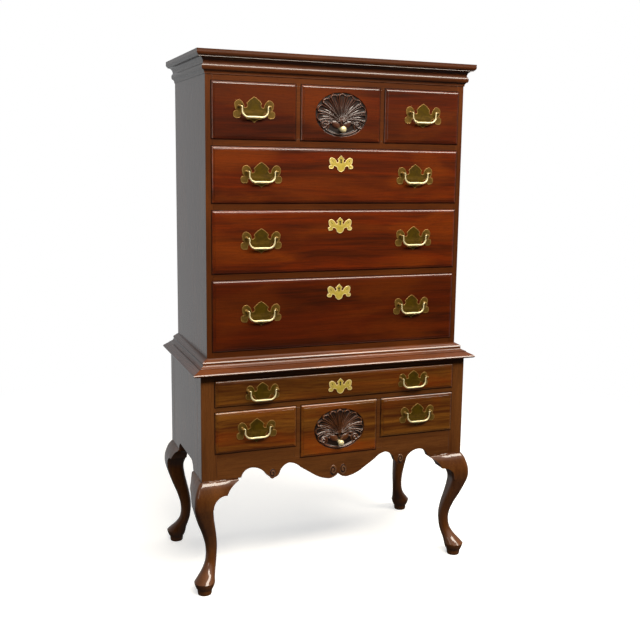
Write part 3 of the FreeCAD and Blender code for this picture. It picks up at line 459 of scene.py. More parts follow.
def wood(name, middle, along, bands=0.45, coat=None, dark=None, light=None, haze=1.0):
    """Polished wood with its grain along one axis."""
    key = f"{name}_{along}"
    if key in bpy.data.materials:
        return bpy.data.materials[key]
    finish = bpy.context.scene.highboy_wood
    material, tree, shader, place = new_material(key)
    grain = add_node(tree, "ShaderNodeGroup", node_tree=grain_group())
    plug(tree, grain, {
        "Vector": add_node(tree, "ShaderNodeMapping", {
            "Vector": place, "Rotation": GRAIN_TURN[along]}).outputs[0],
        "Middle": solid(middle), "Dark": solid(dark or finish.deep),
        "Light": solid(light or finish.glow), "Bands": bands})
    plug(tree, shader, {
        "Base Color": grain.outputs["Color"],
        "Roughness": times(tree, grain.outputs["Gloss"], 0.5),
        "Normal": bump(tree, grain.outputs["Height"], 0.03, 0.0004),
        "Coat Weight": finish.coat if coat is None else coat,
        "Coat Roughness": finish.roughness * haze, "Coat IOR": 1.45,
        "Specular IOR Level": 0.12})
    return material


# How light each front's board is.
TONES = {"row_left": 0.44, "row_shell": 0.56, "row_right": 0.50, "first_long": 0.72,
         "second_long": 0.76, "third_long": 0.50, "base_long": 0.80, "base_left": 1.0,
         "base_shell": 0.97, "base_right": 0.95}


def toned(shade, tone):
    """A colour made lighter or darker."""
    return tuple(tone * c for c in shade)


def front_wood(name):
    """The fronts' wood, more golden on the lower case and toned board by board."""
    finish = bpy.context.scene.highboy_wood
    middle = finish.base if name.startswith("base") else finish.front
    middle, dark, light = (toned(shade, TONES[name])
                           for shade in (middle, finish.deep, finish.glow))
    return wood(f"{name}_wood", middle, "x", 0.9, dark=dark, light=light)


def case_wood(along):
    """The upper case's wood, with a figure half as light again as its middle tone."""
    middle = bpy.context.scene.highboy_wood.case
    return wood("case_polish", middle, along, light=toned(middle, 1.5))


def lower_wood(along):
    """The lower case's wood, more golden than the upper one's."""
    middle = bpy.context.scene.highboy_wood.legs
    return wood("lower_polish", middle, along, light=toned(middle, 1.5))


def moulding_wood(name, along, tone, haze):
    """A moulding's wood: the case's, toned and with a softer polish."""
    middle = toned(bpy.context.scene.highboy_wood.case, tone)
    return wood(f"{name}_polish", middle, along, light=toned(middle, 1.6), haze=haze)


def wax_dark():
    """Near-black finish of the painted shadow lines round the drawers, standing in for the shade
    in the gaps.
    """
    return wood("wax_dark", (0.011, 0.004, 0.0015), "x", 0.3, 0.0, (0.005, 0.002, 0.001),
                (0.016, 0.006, 0.002))


def inside_wood(along):
    """Bare pale wood of the parts that don't show."""
    return wood("inside_wood", bpy.context.scene.highboy_wood.inside, along, 0.30, 0.0,
                (0.25, 0.14, 0.06), (0.46, 0.31, 0.155))


def groove_of(tree):
    """How deep a point lies in the carving, from the mesh's own attribute."""
    return add_node(tree, "ShaderNodeAttribute", attribute_name="groove").outputs["Fac"]


def carved_wood(name):
    """Stained carving with painted light: nearly black in the grooves, which is painted shade
    over the stain, and lighter on the ridges, partly wear and partly a painted highlight. The
    lower case's is more golden."""
    level = "base_" if name.startswith("base") else ""
    key = f"{level}carved_wood"
    if key in bpy.data.materials:
        return bpy.data.materials[key]
    finish = bpy.context.scene.highboy_wood
    material, tree, shader, place = new_material(key)
    grain = add_node(tree, "ShaderNodeGroup", node_tree=grain_group())
    plug(tree, grain, {"Vector": place, "Middle": solid(getattr(finish, f"{level}carved")),
                       "Dark": (0.020, 0.008, 0.004, 1), "Light": (0.13, 0.036, 0.012, 1)})
    groove = groove_of(tree)
    # Painted highlight, with some wear: the ridges take the lighter ridge tone.
    tone = mix_colours(tree, remap(tree, groove, -0.1, -0.8, 0.0, 0.85),
                       grain.outputs["Color"], getattr(finish, f"{level}rubbed"))
    # Painted shade: the grooves are darkened nearly to black.
    tone = mix_colours(tree, remap(tree, groove, 0.0, 0.55, 0.0, 0.94), tone,
                       (0.006, 0.003, 0.002))
    plug(tree, shader, {"Base Color": tone, "Roughness": 0.4, "Coat Roughness": 0.12,
                        "Coat Weight": remap(tree, groove, 0.2, 0.7, 1.0, 0.25)})
    return material


def brass(name, tint, sunk, roughness, tarnish, metal):
    """Cast brass: colour and gloss drift with a tarnish noise, and the sunk faces keep a
    darker patina than the rims."""
    if name in bpy.data.materials:
        return bpy.data.materials[name]
    material, tree, shader, place = new_material(name)
    cloud = noise(tree, place, 60.0, 4.0, 0.5, 0.6)
    mask = times(tree, remap(tree, cloud, 0.35, 0.7), tarnish)
    shade = mix_colours(tree, groove_of(tree), tint, sunk)
    plug(tree, shader, {
        "Base Color": mix_colours(tree, mask, shade, (0.35, 0.30, 0.16), "MULTIPLY"),
        "Roughness": plus(tree, times(tree, mask, 0.2), roughness),
        "Normal": bump(tree, noise(tree, place, 420.0), 0.05, 0.0003),
        "Metallic": metal, "Specular IOR Level": 0.3})
    return material


def plate_brass():
    """The bail plates' brass under its old patina."""
    finish = bpy.context.scene.highboy_brass
    return brass("cast_brass", finish.rim, finish.plate, 0.34, 0.6, 0.4)


def lock_brass():
    """The lock plates' brighter brass; its line is redder and darker."""
    lock = bpy.context.scene.highboy_brass.lock
    sunk = lock[0] * 0.66, lock[1] * 0.62, lock[2] * 0.22
    return brass("lock_brass", lock, sunk, 0.36, 0.35, 0.3)


def bail_brass():
    """Brass that hands keep bright."""
    finish = bpy.context.scene.highboy_brass
    return brass("rubbed_brass", finish.bail, finish.bail, 0.32, 0.12, 0.35)


def keyhole_dark():
    """Unlit inside of a lock."""
    if "keyhole_dark" in bpy.data.materials:
        return bpy.data.materials["keyhole_dark"]
    material, tree, shader, place = new_material("keyhole_dark")
    plug(tree, shader, {"Base Color": mix_colours(tree, noise(tree, place, 400.0),
                                                  (0.008, 0.006, 0.004), (0.02, 0.014, 0.008)),
                        "Roughness": 0.8})
    return material


# ------------------------------------------------------------------ operators
class HighboyPiece:
    """Shared settings of the operators below."""

    bl_options = {"REGISTER", "UNDO"}


# Height, reach past the case's corner, half width and corner share of the leg's sections.
LEG_STATIONS = np.array([
    (44, 26, 36, 0.97), (57, 15, 31, 0.97), (75, -1, 25, 0.97), (100, -16, 20.2, 0.97),
    (130, -22, 18.9, 0.95), (160, -20.8, 20, 0.90), (200, -10.5, 23, 0.80),
    (245, 6.5, 27, 0.66), (280, 18, 29.4, 0.55), (315, 27, 32.6, 0.45),
    (345, 27.4, 37, 0.40), (375, 20, 36.4, 0.38), (395.2, 11.0, 32.1, 0.363),
    (397.5, 9.3, 31.6, 0.36),
])
BRIM, LEG_TOP = LEG_STATIONS[[0, -1], 0]
POST_HALF = 26.25
# How far the round pad's middle stands in from the case's corner.
PAD_INSET = 10
# The same four values from the post down over the ledge on the knee.
KNEE_LEDGE = [(407.8, 0, POST_HALF, 0.05), (407.2, 0.8, 26.7, 0.07), (406.4, -1.0, 25.5, 0.07),
              (405.0, -1.0, 25.5, 0.07), (404.4, 1.6, 27.1, 0.12), (403.8, 4.3, 28.8, 0.22),
              (402.9, 5.2, 29.4, 0.26), (400.3, 7.2, 30.5, 0.32)]


def reach_at(height):
    """How far the knee stands out at a height: the ledge's steps, then the leg's cubic."""
    steps = np.array([LEG_STATIONS[-1]] + KNEE_LEDGE[::-1])
    return np.where(height > LEG_TOP, np.interp(height, steps[:, 0], steps[:, 1]),
                    smooth(np.minimum(height, LEG_TOP), LEG_STATIONS[:, 0],
                           LEG_STATIONS[:, 1]))


def leg_grid():
    """Rounded squares up the leg. A ring's point is its corner's centre plus the corner
    radius times the direction of the outline; reach, half width and corner come from a
    cubic over height. Below the brim the rings are circles of the turned pad."""
    turn = np.linspace(0, math.pi / 2, 9)
    blend = np.linspace(0, 1, 7)[1:-1, None]
    corners = np.array([(1, 1), (-1, 1), (-1, -1), (1, -1)])
    sides = []
    for quarter, (here, following) in enumerate(zip(corners, np.roll(corners, -1, axis=0))):
        angle = turn + quarter * math.pi / 2
        ray = np.stack([np.cos(angle), np.sin(angle)], axis=1)
        sides += [np.hstack([np.tile(here, (len(turn), 1)), ray]),
                  np.hstack([(1 - blend) * here + blend * following,
                             np.tile(ray[-1], (len(blend), 1))])]
    corner_x, corner_y, ray_x, ray_y = np.concatenate(sides).T

    height = np.linspace(LEG_TOP, BRIM, 110)
    sections = [smooth(height, LEG_STATIONS[:, 0], LEG_STATIONS[:, k]) for k in (1, 2, 3)]
    radius, level = np.concatenate([
        arc((36, BRIM), (32.6, 31), (26.2, 18.5), 8)[1:],
        [(25.6, 17.5), (25.2, 16), (24.6, 9), (23.6, 2), (22.8, 0.5), (21, 0)]]).T
    rounded = 0.97 + 0.03 * np.minimum(1, (BRIM - level) / 8)
    rows = np.concatenate([[(BASE_TOP, 0, POST_HALF, 0.05)], KNEE_LEDGE,
                           np.stack([height, *sections], axis=1),
                           np.stack([level, radius - PAD_INSET, radius, rounded], axis=1)])
    z, reach, half, corner = (rows[:, k, None] for k in range(4))
    radius, out = half * corner, reach - half
    x = LOWER_HALF + out + (half - radius) * corner_x + radius * ray_x
    y = LOWER_FRONT - out - (half - radius) * corner_y - radius * ray_y
    return np.stack([x, y, np.broadcast_to(z, x.shape)], axis=-1)


class HIGHBOY_OT_legs(HighboyPiece, bpy.types.Operator):
    """Cabriole legs with their posts and pad feet"""

    bl_idname = "highboy.legs"
    bl_label = "Legs"

    def execute(self, context):
        grid = leg_grid()
        for depth, along in (("front", 1), ("back", -1)):
            for side, across in (("left", -1), ("right", 1)):
                place = grid * [across, 1, 1]
                place[..., 1] = LOWER_MIDDLE + along * (place[..., 1] - LOWER_MIDDLE)
                shapes = Shapes()
                shapes.add(*skin(place))
                node = f"{depth}_{side}_leg"
                make_piece(f"{node}_wood", shapes, [lower_wood("z")], "case",
                           [node], 40)
        return {"FINISHED"}


# Outline of a bracket's lower edge: distance from the case's corner, and height.
BRACKET = np.concatenate([
    [(26, 306), (33, 309)], arc((36, 315), (51, 348), (84, 357), 14),
    arc((84.4, 357.8), (101, 381), (128, 399.5), 12)])
BRACKET_TOP = 406.9


class HIGHBOY_OT_brackets(HighboyPiece, bpy.types.Operator):
    """Carved ears beside the knees"""

    bl_idname = "highboy.brackets"
    bl_label = "Knee brackets"

    def execute(self, context):
        ear = self.ear()
        swapped = ear[..., [1, 0, 2]]
        shapes = Shapes()
        for grid, along in ((ear, 1), (swapped, 1), (swapped, -1)):
            for across in (-1, 1):
                x = across * (LOWER_HALF - grid[..., 0])
                y = LOWER_MIDDLE + along * (LOWER_FRONT + grid[..., 1] - LOWER_MIDDLE)
                shapes.add(*skin(np.stack([x, y, grid[..., 2]], axis=-1)))
        make_piece("knee_brackets_wood", shapes, [lower_wood("z")], "case",
                   ["knee_brackets"], 40)
        return {"FINISHED"}

    def ear(self):
        """Sections across the ear: inward distance, depth behind the case's face, height.
        The front follows the knee's reach, which fades toward the tip, and stays just
        behind the knee's own face where the two meet."""
        inward, bottom = BRACKET[:, 0, None], BRACKET[:, 1, None]
        drop = np.concatenate([[0, 0.05, 0.10], np.linspace(0, 1, 26) ** 1.1 * 0.88 + 0.12])
        height = BRACKET_TOP - (BRACKET_TOP - bottom) * drop
        fade = 1 - 0.22 * ramp(inward, 50, 128)
        depth = 0.25 - reach_at(height) * fade
        behind = 24 + 14 * ramp(inward, 40, 80)
        depth = np.concatenate([behind, depth, behind], axis=1)
        top = np.full(inward.shape, BRACKET_TOP)
        height = np.concatenate([top, height, bottom], axis=1)
        return np.stack([np.broadcast_to(inward, depth.shape), depth, height], axis=-1)


# Heights of the seams between a back's boards, over its lower edge.
BACK_SEAMS = {"upper_back": (212, 431, 640, 868), "lower_back": (150,)}


class HIGHBOY_OT_case(HighboyPiece, bpy.types.Operator):
    """Sides, rails, backs and the boards between them"""

    bl_idname = "highboy.case"
    bl_label = "Case boards"

    def execute(self, context):
        for level, polish in (("upper", case_wood), ("lower", lower_wood)):
            for side in ("left", "right"):
                eased_copy(f"{level}_side_{side}", polish("z"), 0.9)
            eased_copy(f"{level}_rails", polish("x"), 0.5)
        boards = eased_copy("upper_boards", inside_wood("x"))
        boards.data.materials.append(case_wood("x"))
        # The top board shows, so it is stained.
        centres = np.zeros(3 * len(boards.data.polygons))
        boards.data.polygons.foreach_get("center", centres)
        top = centres[2::3] > 0.9 * node_box("upper_boards")[1][2] * MM
        boards.data.polygons.foreach_set("material_index", top.astype(np.int32))
        for node, seams in BACK_SEAMS.items():
            self.backs(node, seams)
        eased_copy("drawer_runners", inside_wood("y"))
        return {"FINISHED"}

    def backs(self, node, seams):
        """Level boards with a small V between them: the section in depth and height, with
        three points for each seam, carried across from side to side."""
        low, high = node_box(node)
        section = [(low[1], low[2]), (low[1], high[2]), (high[1], high[2])]
        cut = 1.6
        for seam in sorted(seams, reverse=True):
            z = low[2] + seam
            section += [(high[1], z + cut), (high[1] - cut, z), (high[1], z - cut)]
        section = np.array(section + [(high[1], low[2])])
        grid = np.array([np.insert(section, 0, x, axis=1) for x in (low[0], high[0])])
        shapes = Shapes()
        shapes.add(*skin(grid))
        make_piece(f"{node}_wood", shapes, [inside_wood("x")], "case",
                   [node], 20)


# Sections of the mouldings: distance from the upper case, and height.
WAIST = outline((47, 0), [
    ((55.8, 1.4), (58, 5.4)), ((56.1, 8.3),), ((54.6, 8.9),), ((33, 19.2),), ((33, 21.6),),
    ((27.5, 21.6),), ((26.6, 23.4),), ((19.2, 27.8), (17.6, 36.6)), ((19.2, 37.8),),
    ((16.7, 41.6),), ((15.2, 42.3),), ((2, 49.8),), ((0, 50),), ((0, 0),),
])
CORNICE = outline((2.5, 0), [
    ((3.5, 7.5), (8, 12.5)), ((10, 12.5),), ((12.8, 22), (10, 31)), ((8, 31),),
    ((11, 45), (19, 51.5)), ((25.6, 51.5),), ((25.1, 53.1),), ((30.5, 57.5), (32, 66.5)),
    ((32, 74),), ((0, 74),), ((0, 0),),
])


class HIGHBOY_OT_mouldings(HighboyPiece, bpy.types.Operator):
    """Waist moulding and cornice"""

    bl_idname = "highboy.mouldings"
    bl_label = "Mouldings"

    def execute(self, context):
        for node, profile, base, tone, haze in (
                ("waist_moulding", WAIST, BASE_TOP, 1.4, 1.6),
                ("cornice", CORNICE, node_box("cornice")[0][2], 0.8, 2.8)):
            shapes = Shapes()
            self.sweep(shapes, profile, base)
            # Painted shade: the returns at the sides take a darker copy of the same wood, tone
            # 0.7.
            make_piece(f"{node}_wood", shapes, [moulding_wood(node, "x", tone, haze),
                                                moulding_wood(node, "y", 0.7, haze)],
                       "case", [node], 28)
        return {"FINISHED"}

    def sweep(self, shapes, profile, base):
        """The profile carried round three sides: at each corner of the path a point lies
        as far out in x and in y as its own distance from the case, which is the mitre."""
        out, up = profile[:, 0], profile[:, 1] + base
        corners = [np.stack([side * (UPPER_HALF + out), y - mitre * out, up], axis=1)
                   for side, y, mitre in ((1, BACK, 0), (1, UPPER_FRONT, 1),
                                          (-1, UPPER_FRONT, 1), (-1, BACK, 0))]
        count = len(profile)
        shapes.add(*skin(np.array(corners)), np.repeat([1, 0, 1], [count, count, count + 2]))


# Place, size and hand of a scroll on the right half of the apron.
SCROLLS = [(19, 394.5, 13.0, 1), (245.5, 408.5, 12.0, -1)]


class HIGHBOY_OT_apron(HighboyPiece, bpy.types.Operator):
    """Scrolled apron"""

    bl_idname = "highboy.apron"
    bl_label = "Apron"

    def execute(self, context):
        eased_copy("apron", lower_wood("x"), 1.2)
        rise = bpy.context.scene.highboy_carving.scroll
        shapes = Shapes()
        for x, z, size, hand in SCROLLS:
            for side in (-1, 1):
                verts, faces, groove = self.scroll(side * x, z, size, side * hand, rise)
                shapes.add(verts, faces, 0, groove)
        make_piece("apron_scrolls", shapes, [carved_wood("base")], "case",
                   sharp=60)
        return {"FINISHED"}

    def scroll(self, x, z, size, hand, rise):
        """A polar grid: a low dome whose face carries a spiral ridge, the cosine of the
        turn minus the distance from its eye, and a raised eye in the middle."""
        angle = np.linspace(0, 2 * math.pi, 97)[:-1]
        share = np.linspace(0.01, 1, 40)[:, None]
        wave = 0.5 + 0.5 * np.cos(hand * angle + share * 9.5)
        wide = size * (1 + 0.12 * np.abs(np.sin(angle)))
        dome_part = np.sqrt(np.clip(1 - share ** 2, 0, None))
        eye = np.exp(-(share / 0.17) ** 2)
        carved = np.maximum(wave ** 0.8, eye)
        height = rise * (dome_part ** 0.6) * (0.30 + 0.70 * carved) - 0.3
        # The mark paints shade between the spiral's turns and the lighter ridge tone on its
        # ridge.
        groove = np.clip(1.1 - 2.1 * carved, -1, 1) * (share < 0.93)
        front = np.stack([x + wide * share * np.cos(angle), LOWER_FRONT - height,
                          z + 1.35 * wide * share * np.sin(angle)], axis=-1)
        rear = front[-1:] + [0, 3.0, 0]
        return *skin(np.concatenate([front, rear])), np.append(groove, np.zeros(len(angle)))


# Inset and height of the steps over a front's lip: its edge, its broad thumb (an arc
# between two slopes of its normal), the quirk and the field.
THUMB, STEEP, LEVEL = 14.0, math.radians(42), math.radians(10)
LIP = [(0, 0), (0, 1.6), (0.12, 2.1)]
LIP += [(0.4 + THUMB * (math.sin(STEEP) - math.sin(a)),
         2.5 + THUMB * (math.cos(a) - math.cos(STEEP))) for a in np.linspace(STEEP, LEVEL, 10)]
LIP += [(8.4, 5.9), (8.9, 5.7), (9.0, PROUD - 0.3), (9.4, PROUD), (10.0, PROUD)]
# Side, bottom and top insets and height of a front's rings, from its back to its field.
FRONT_RINGS = [(6.5, 6, 8, -15), (6.5, 6, 8, 0)]
FRONT_RINGS += [(inset, inset, inset, out) for inset, out in LIP]


def rectangle_ring(points, box, ring):
    """Points on the outline of a front, moved inward by a ring's side, bottom and top
    insets: each keeps its share of the way across and up."""
    x0, x1, z0, z1 = box
    side, bottom, top, out = ring
    share = (points - (x0, z0)) / (x1 - x0, z1 - z0)
    size = np.array([x1 - x0 - 2 * side, z1 - z0 - bottom - top])
    return upright(share * size, -out, x0 + side, z0 + bottom)


def front_box(name):
    """Sides, bottom and top of a drawer front, and the depth of the rails round it."""
    low, high = node_box(f"{name}_front")
    return (low[0], high[0], low[2], high[2]), UPPER_FRONT if low[2] > BASE_TOP else LOWER_FRONT


class HIGHBOY_OT_fronts(HighboyPiece, bpy.types.Operator):
    """Plain drawer fronts with a thumb-moulded lip"""

    bl_idname = "highboy.fronts"
    bl_label = "Drawer fronts"

    def execute(self, context):
        for name in PULL_PIECES:
            box, face = front_box(name)
            x0, x1, z0, z1 = box
            # Points close to each corner keep the mitres crisp.
            near = 0.6
            points = np.array([(x0, z0), (x0 + near, z0), (x1 - near, z0), (x1, z0),
                               (x1, z0 + near), (x1, z1 - near), (x1, z1), (x1 - near, z1),
                               (x0 + near, z1), (x0, z1), (x0, z1 - near), (x0, z0 + near)])
            grid = np.array([rectangle_ring(points, box, ring) for ring in FRONT_RINGS])
            shapes = Shapes()
            shapes.add(*skin(grid + [0, face, 0]))
            make_piece(f"{name}_panel", shapes, [front_wood(name)], f"{name}_drawer",
                       [f"{name}_front"], 25)
        return {"FINISHED"}


# How far the oval lies under the front's middle and the hub under the oval's, the oval's
# half width and half height, and how far the knob lies under the oval's middle.
SHELLS = {"row_shell": (1.5, 24, 93, 72, 49.5), "base_shell": (2, 14, 94, 73, 47)}
# Ribs of the fan, half of the angle that it fills, and the bend of its flutes.
RIBS, SPREAD, BEND = 11, math.radians(106), 0.24


def hub_reach(angle, half_width, half_height, hub_drop):
    """Distance from the hub to the oval along an angle from the top: the positive root of
    the quadratic that puts the ray's end on the oval."""
    across, up = np.sin(angle) / half_width, np.cos(angle) / half_height
    offset = hub_drop / half_height
    square, linear = across ** 2 + up ** 2, -2 * up * offset
    return (-linear + np.sqrt(linear ** 2 - 4 * square * (offset ** 2 - 1))) / (2 * square)


def dome(x, z, centre_x, centre_z, wide, high, tilt):
    """Half an ellipsoid: the root of one minus the squared distance in its own axes."""
    c, s = math.cos(tilt), math.sin(tilt)
    u = ((x - centre_x) * c + (z - centre_z) * s) / wide
    v = ((z - centre_z) * c - (x - centre_x) * s) / high
    return np.sqrt(np.clip(1 - u * u - v * v, 0, None))


def volute(x, z, centre_x, centre_z, size):
    """A curled end: a dome whose face carries a spiral ridge, the cosine of the turn minus
    the distance from its eye."""
    dx, dz = x - centre_x, z - centre_z
    far = np.hypot(dx, dz) / size
    turn = np.arctan2(dz, np.abs(centre_x) / centre_x * dx)
    ridge = 0.5 + 0.5 * np.cos(turn - far * 11)
    return np.sqrt(np.clip(1 - far ** 2, 0, None)) * (0.55 + 0.45 * ridge)


def bell(value, middle, width):
    """One at the middle, falling off both ways with the square of the distance."""
    return np.exp(-((value - middle) / width) ** 2)


# The right half of the carving under the fan: share of the height, place across and up,
# half sizes and lean of a leaf and a bead, and the size of a curled end.
LEAF = (0.74, 21, -31, 19, 12.5, 0.62)
BEAD = (0.90, 39.5, -29, 4.2, 4.2, 0)
CURL = (0.86, 60, -36, 17.5)


def shell_height(x, z, share, angle, rise, scallop, hub_drop):
    """Height of the carving over its ground. The flutes are hollow, by the square of the
    share across, with a thin ridge at each side, a lower one along the middle, a cut between
    neighbours and a raised, scalloped rim at the end; they bend outward with the square of
    the way from the hub. The body falls from the hub and rises to the rim. Below are two
    leaves, a stem, two beads and two volutes."""
    step = 2 * SPREAD / (RIBS - 1)
    turn = angle * (1 + BEND) / (1 + BEND * share ** 2)
    place = turn / step
    across = np.abs(2 * (place - np.round(place)))
    inside = ramp(SPREAD + 0.5 * step - np.abs(turn), -0.02, 0.05)
    spine = bell(across, 0, 0.17) * ramp(0.86 - share, 0, 0.25)
    flute = 0.46 + 0.14 * across ** 2 + 0.44 * bell(across, 0.74, 0.15) \
        - 0.34 * bell(across, 1, 0.12) + 0.20 * spine
    edge = 1.0 - 0.75 * scallop * (1 - np.cos(math.pi * across))
    body = 0.86 - 0.30 * ramp(share, 0.12, 0.58) + 0.34 * ramp(share, 0.60, 0.90)
    rim = 0.34 * bell(share, edge - 0.040, 0.026) * (1 - across ** 4)
    lip = np.clip((edge - share) / 0.035, 0, 1)
    round_off = np.sqrt(1 - (1 - lip) ** 2)
    depth = ramp(share, 0.04, 0.34)
    parts = [inside * round_off * (body * (1 - depth * (1 - flute)) + rim),
             (1 - inside) * 0.55 * bell(share, 0.9, 0.055)]
    for side in (-1, 1):
        for high, out, up, wide, tall, lean in (LEAF, BEAD):
            parts.append(high * dome(x, z, side * out, up, wide, tall, side * lean))
        high, out, up, size = CURL
        parts.append(high * volute(x, z, side * out, up, size))
    parts.append(0.62 * dome(x, z, 0, -hub_drop - 3, 4, 15, 0))
    parts.append(0.90 * dome(x, z, 0, -hub_drop + 6, 15, 6, 0))
    return rise * np.max(parts, axis=0)


def hollows(height, around=11, along=4, depth=1.1):
    """How far a point of the polar grid lies under the mean of its neighbours round the
    hub and along the ray, over the given depth, held between -1 and 1."""
    turned_by = [np.roll(height, k, axis=1) for k in range(-around, around + 1)]
    padded = np.pad(height, ((along, along), (0, 0)), mode="edge")
    shifted = [padded[k:k + len(height)] for k in range(2 * along + 1)]
    level = 0.6 * np.mean(turned_by, axis=0) + 0.4 * np.mean(shifted, axis=0)
    return np.clip((level - height) / depth, -1, 1)


class HIGHBOY_OT_gap_shadows(HighboyPiece, bpy.types.Operator):
    """Painted shadow lines round the drawers"""

    bl_idname = "highboy.seams"
    bl_label = "Gap shadows"

    def execute(self, context):
        """A thin flat frame on the rails round each drawer, painted near black as the shadow in
        the gap round its front: four rings of corners, each the front's outline grown by a width,
        joined in a closed loop."""
        shapes = Shapes()
        for name in PULL_PIECES + SHELL_PIECES:
            (x0, x1, z0, z1), face = front_box(name)
            corners = np.array([(x0, z0), (x1, z0), (x1, z1), (x0, z1)])
            away = np.array([(-1, -1), (1, -1), (1, 1), (-1, 1)])
            verts, faces = skin(np.array([
                upright(corners + grow * away, face - out)
                for grow, out in ((2.4, -0.1), (2.4, 0.06), (0.05, 0.12), (0.05, -0.1))]),
                caps=False)
            first = np.arange(4)
            last, following = 12 + first, np.roll(first, -1)
            faces.append(np.stack([last, 12 + following, following, first], axis=1))
            shapes.add(verts, faces)
        make_piece("drawer_seams", shapes, [wax_dark()], "case")
        return {"FINISHED"}


class HIGHBOY_OT_shells(HighboyPiece, bpy.types.Operator):
    """Shell-carved drawer fronts"""

    bl_idname = "highboy.shells"
    bl_label = "Shell fronts"

    def execute(self, context):
        for name, values in SHELLS.items():
            self.carve(name, *values)
        return {"FINISHED"}

    def carve(self, name, low, hub_drop, half_width, half_height, knob_drop):
        """A polar grid round the hub: rings inside the oval carry the carving's height,
        rings outside it run straight to the front's outline and on over its lip."""
        carving = bpy.context.scene.highboy_carving
        box, face = front_box(name)
        x0, x1, z0, z1 = box
        centre = (z0 + z1) / 2 - low
        hub = np.array([0, centre - hub_drop])
        angle = np.linspace(-math.pi, math.pi, 721)[:-1]
        for x, z in ((x0, z0), (x1, z0), (x1, z1), (x0, z1)):
            corner = math.atan2(x, z - hub[1])
            angle[np.argmin(np.abs(angle - corner))] = corner
        ray = np.stack([np.sin(angle), np.cos(angle)], axis=1)
        reach = hub_reach(angle, half_width, half_height, hub_drop)
        share = np.concatenate([np.linspace(0.012, 0.80, 60), np.linspace(0.81, 1.0, 36)])
        share = share[:, None]
        x, z = share * reach * ray[:, 0], share * reach * ray[:, 1] - hub_drop
        height = shell_height(x, z, share, angle, carving.rise, carving.scallop,
                              hub_drop) - carving.recess
        # The mark paints shade into the sunk ground and the hollows between the ribs, gives the
        # ridges the lighter ridge tone, and makes the fan darker toward its rim.
        sunk = 0.6 * ramp(0.14 * carving.rise - carving.recess - height, 0, 0.3)
        groove = np.maximum(hollows(height) + 0.22 * ramp(share, 0.5, 0.8), sunk)
        rings = [np.stack([x, -PROUD - height, z + centre], axis=-1)]
        rings += [upright(hub + (reach + grow)[:, None] * ray, -out)[None]
                  for grow, out in ((0.3, PROUD - 0.8 * carving.recess), (1.4, PROUD - 0.3),
                                    (2.2, PROUD), (3.0, PROUD))]
        with np.errstate(divide="ignore"):
            to_side = x1 / np.abs(ray[:, 0])
            to_level = np.where(ray[:, 1] > 0, z1 - hub[1], hub[1] - z0) / np.abs(ray[:, 1])
        edge = hub + ray * np.minimum(to_side, to_level)[:, None]
        rings.append([rectangle_ring(edge, box, ring) for ring in FRONT_RINGS[::-1]])
        verts, faces = skin(np.concatenate(rings) + [0, face, 0])
        # The carved rings, the wall round them and the flat at the hub take the stain, with its
        # painted shade in the grooves and lighter tone on the ridges.
        numbers = np.zeros(len(faces[0]) + 2, int)
        numbers[:(len(share) + 1) * len(angle)] = numbers[-2] = 1
        shapes = Shapes()
        shapes.add(verts, faces, numbers,
                   np.append(groove, np.zeros(len(verts) - groove.size)))
        make_piece(f"{name}_panel", shapes, [front_wood(name), carved_wood(name)],
                   f"{name}_drawer", [f"{name}_front"], 25, groove.size)


class HIGHBOY_OT_boxes(HighboyPiece, bpy.types.Operator):
    """Drawer boxes"""

    bl_idname = "highboy.boxes"
    bl_label = "Drawer boxes"

    def execute(self, context):
        for name in PULL_PIECES + SHELL_PIECES:
            eased_copy(f"{name}_box", inside_wood("y"), 0.6)
        return {"FINISHED"}


# Outlines of the cast plates, the lock plates and their keyhole, from the top down.
PLATE = mirrored_loop(outline((0, 32), [
    ((14.5, 22.5), (27, 9.5)), ((24.5, 0), (33, -3)), ((38, 12), (48, 20.5)), ((64, 15), (66, 0)),
    ((63, -10), (57, -15)), ((67, -15), (71, -26)), ((67, -36), (57, -38)),
    ((48, -36), (46, -28)), ((41, -22), (34, -25)), ((29, -36), (20, -42)),
    ((9, -45), (0, -53)),
], 9))
LOCK = mirrored_loop(outline((0, 28), [
    ((14, 14),), ((9.6, 7.6), (14.6, 4.6)), ((22, 15.5), (31, 20)), ((41.5, 16), (42, 7)),
    ((40, -1), (35.5, -5)), ((41, -5.5), (44.5, -10)), ((42.5, -16.5), (36, -18)),
    ((29, -16.5), (26, -9)), ((20, -9), (14.5, -14)), ((10.5, -22.5), (0, -28)),
], 8))
KEYHOLE = mirrored_loop(outline((0, 16), [((3.6, 12.6), (2.0, 9.4)), ((2.8, 1.5),), ((0, 1.5),)],
                                6))
# How far a lock's middle lies under the top of its front.
LOCK_DROP = {"first_long": 50, "second_long": 51.5, "third_long": 50.5, "base_long": 48}
# Scale of the plates on the narrow drawer.
SMALL_PLATE = {"base_long": 0.84}


def inset_loop(loop, distance):
    """A closed loop moved inward: each point goes along the mean of its two edges' normals,
    further where the corner is sharp, by one over the cosine of half its turn."""
    forward = np.roll(loop, -1, axis=0) - loop
    forward /= np.linalg.norm(forward, axis=1)[:, None]
    normal = np.stack([-forward[:, 1], forward[:, 0]], axis=1)
    area = np.sum(loop[:, 0] * np.roll(loop[:, 1], -1) - np.roll(loop[:, 0], -1) * loop[:, 1])
    if area < 0:
        normal = -normal
    mean = normal + np.roll(normal, 1, axis=0)
    length = np.linalg.norm(mean, axis=1)[:, None]
    mean /= length
    return loop + mean * distance / np.clip(length / 2, 0.55, 1)


# Thickness of a cast plate, and how far its posts stand from its middle.
THICK, POST_REACH = 1.6, 51.5


def plate_rings(relief):
    """Inset and height of a cast plate's rings, from its back edge over a rounded rim to
    the sunk face."""
    return [(0.2, 0), (0, 0.5), (0.3, THICK - 0.4), (0.9, THICK), (1.9, THICK - 0.1),
            (2.7, THICK - relief), (3.2, THICK - relief)]


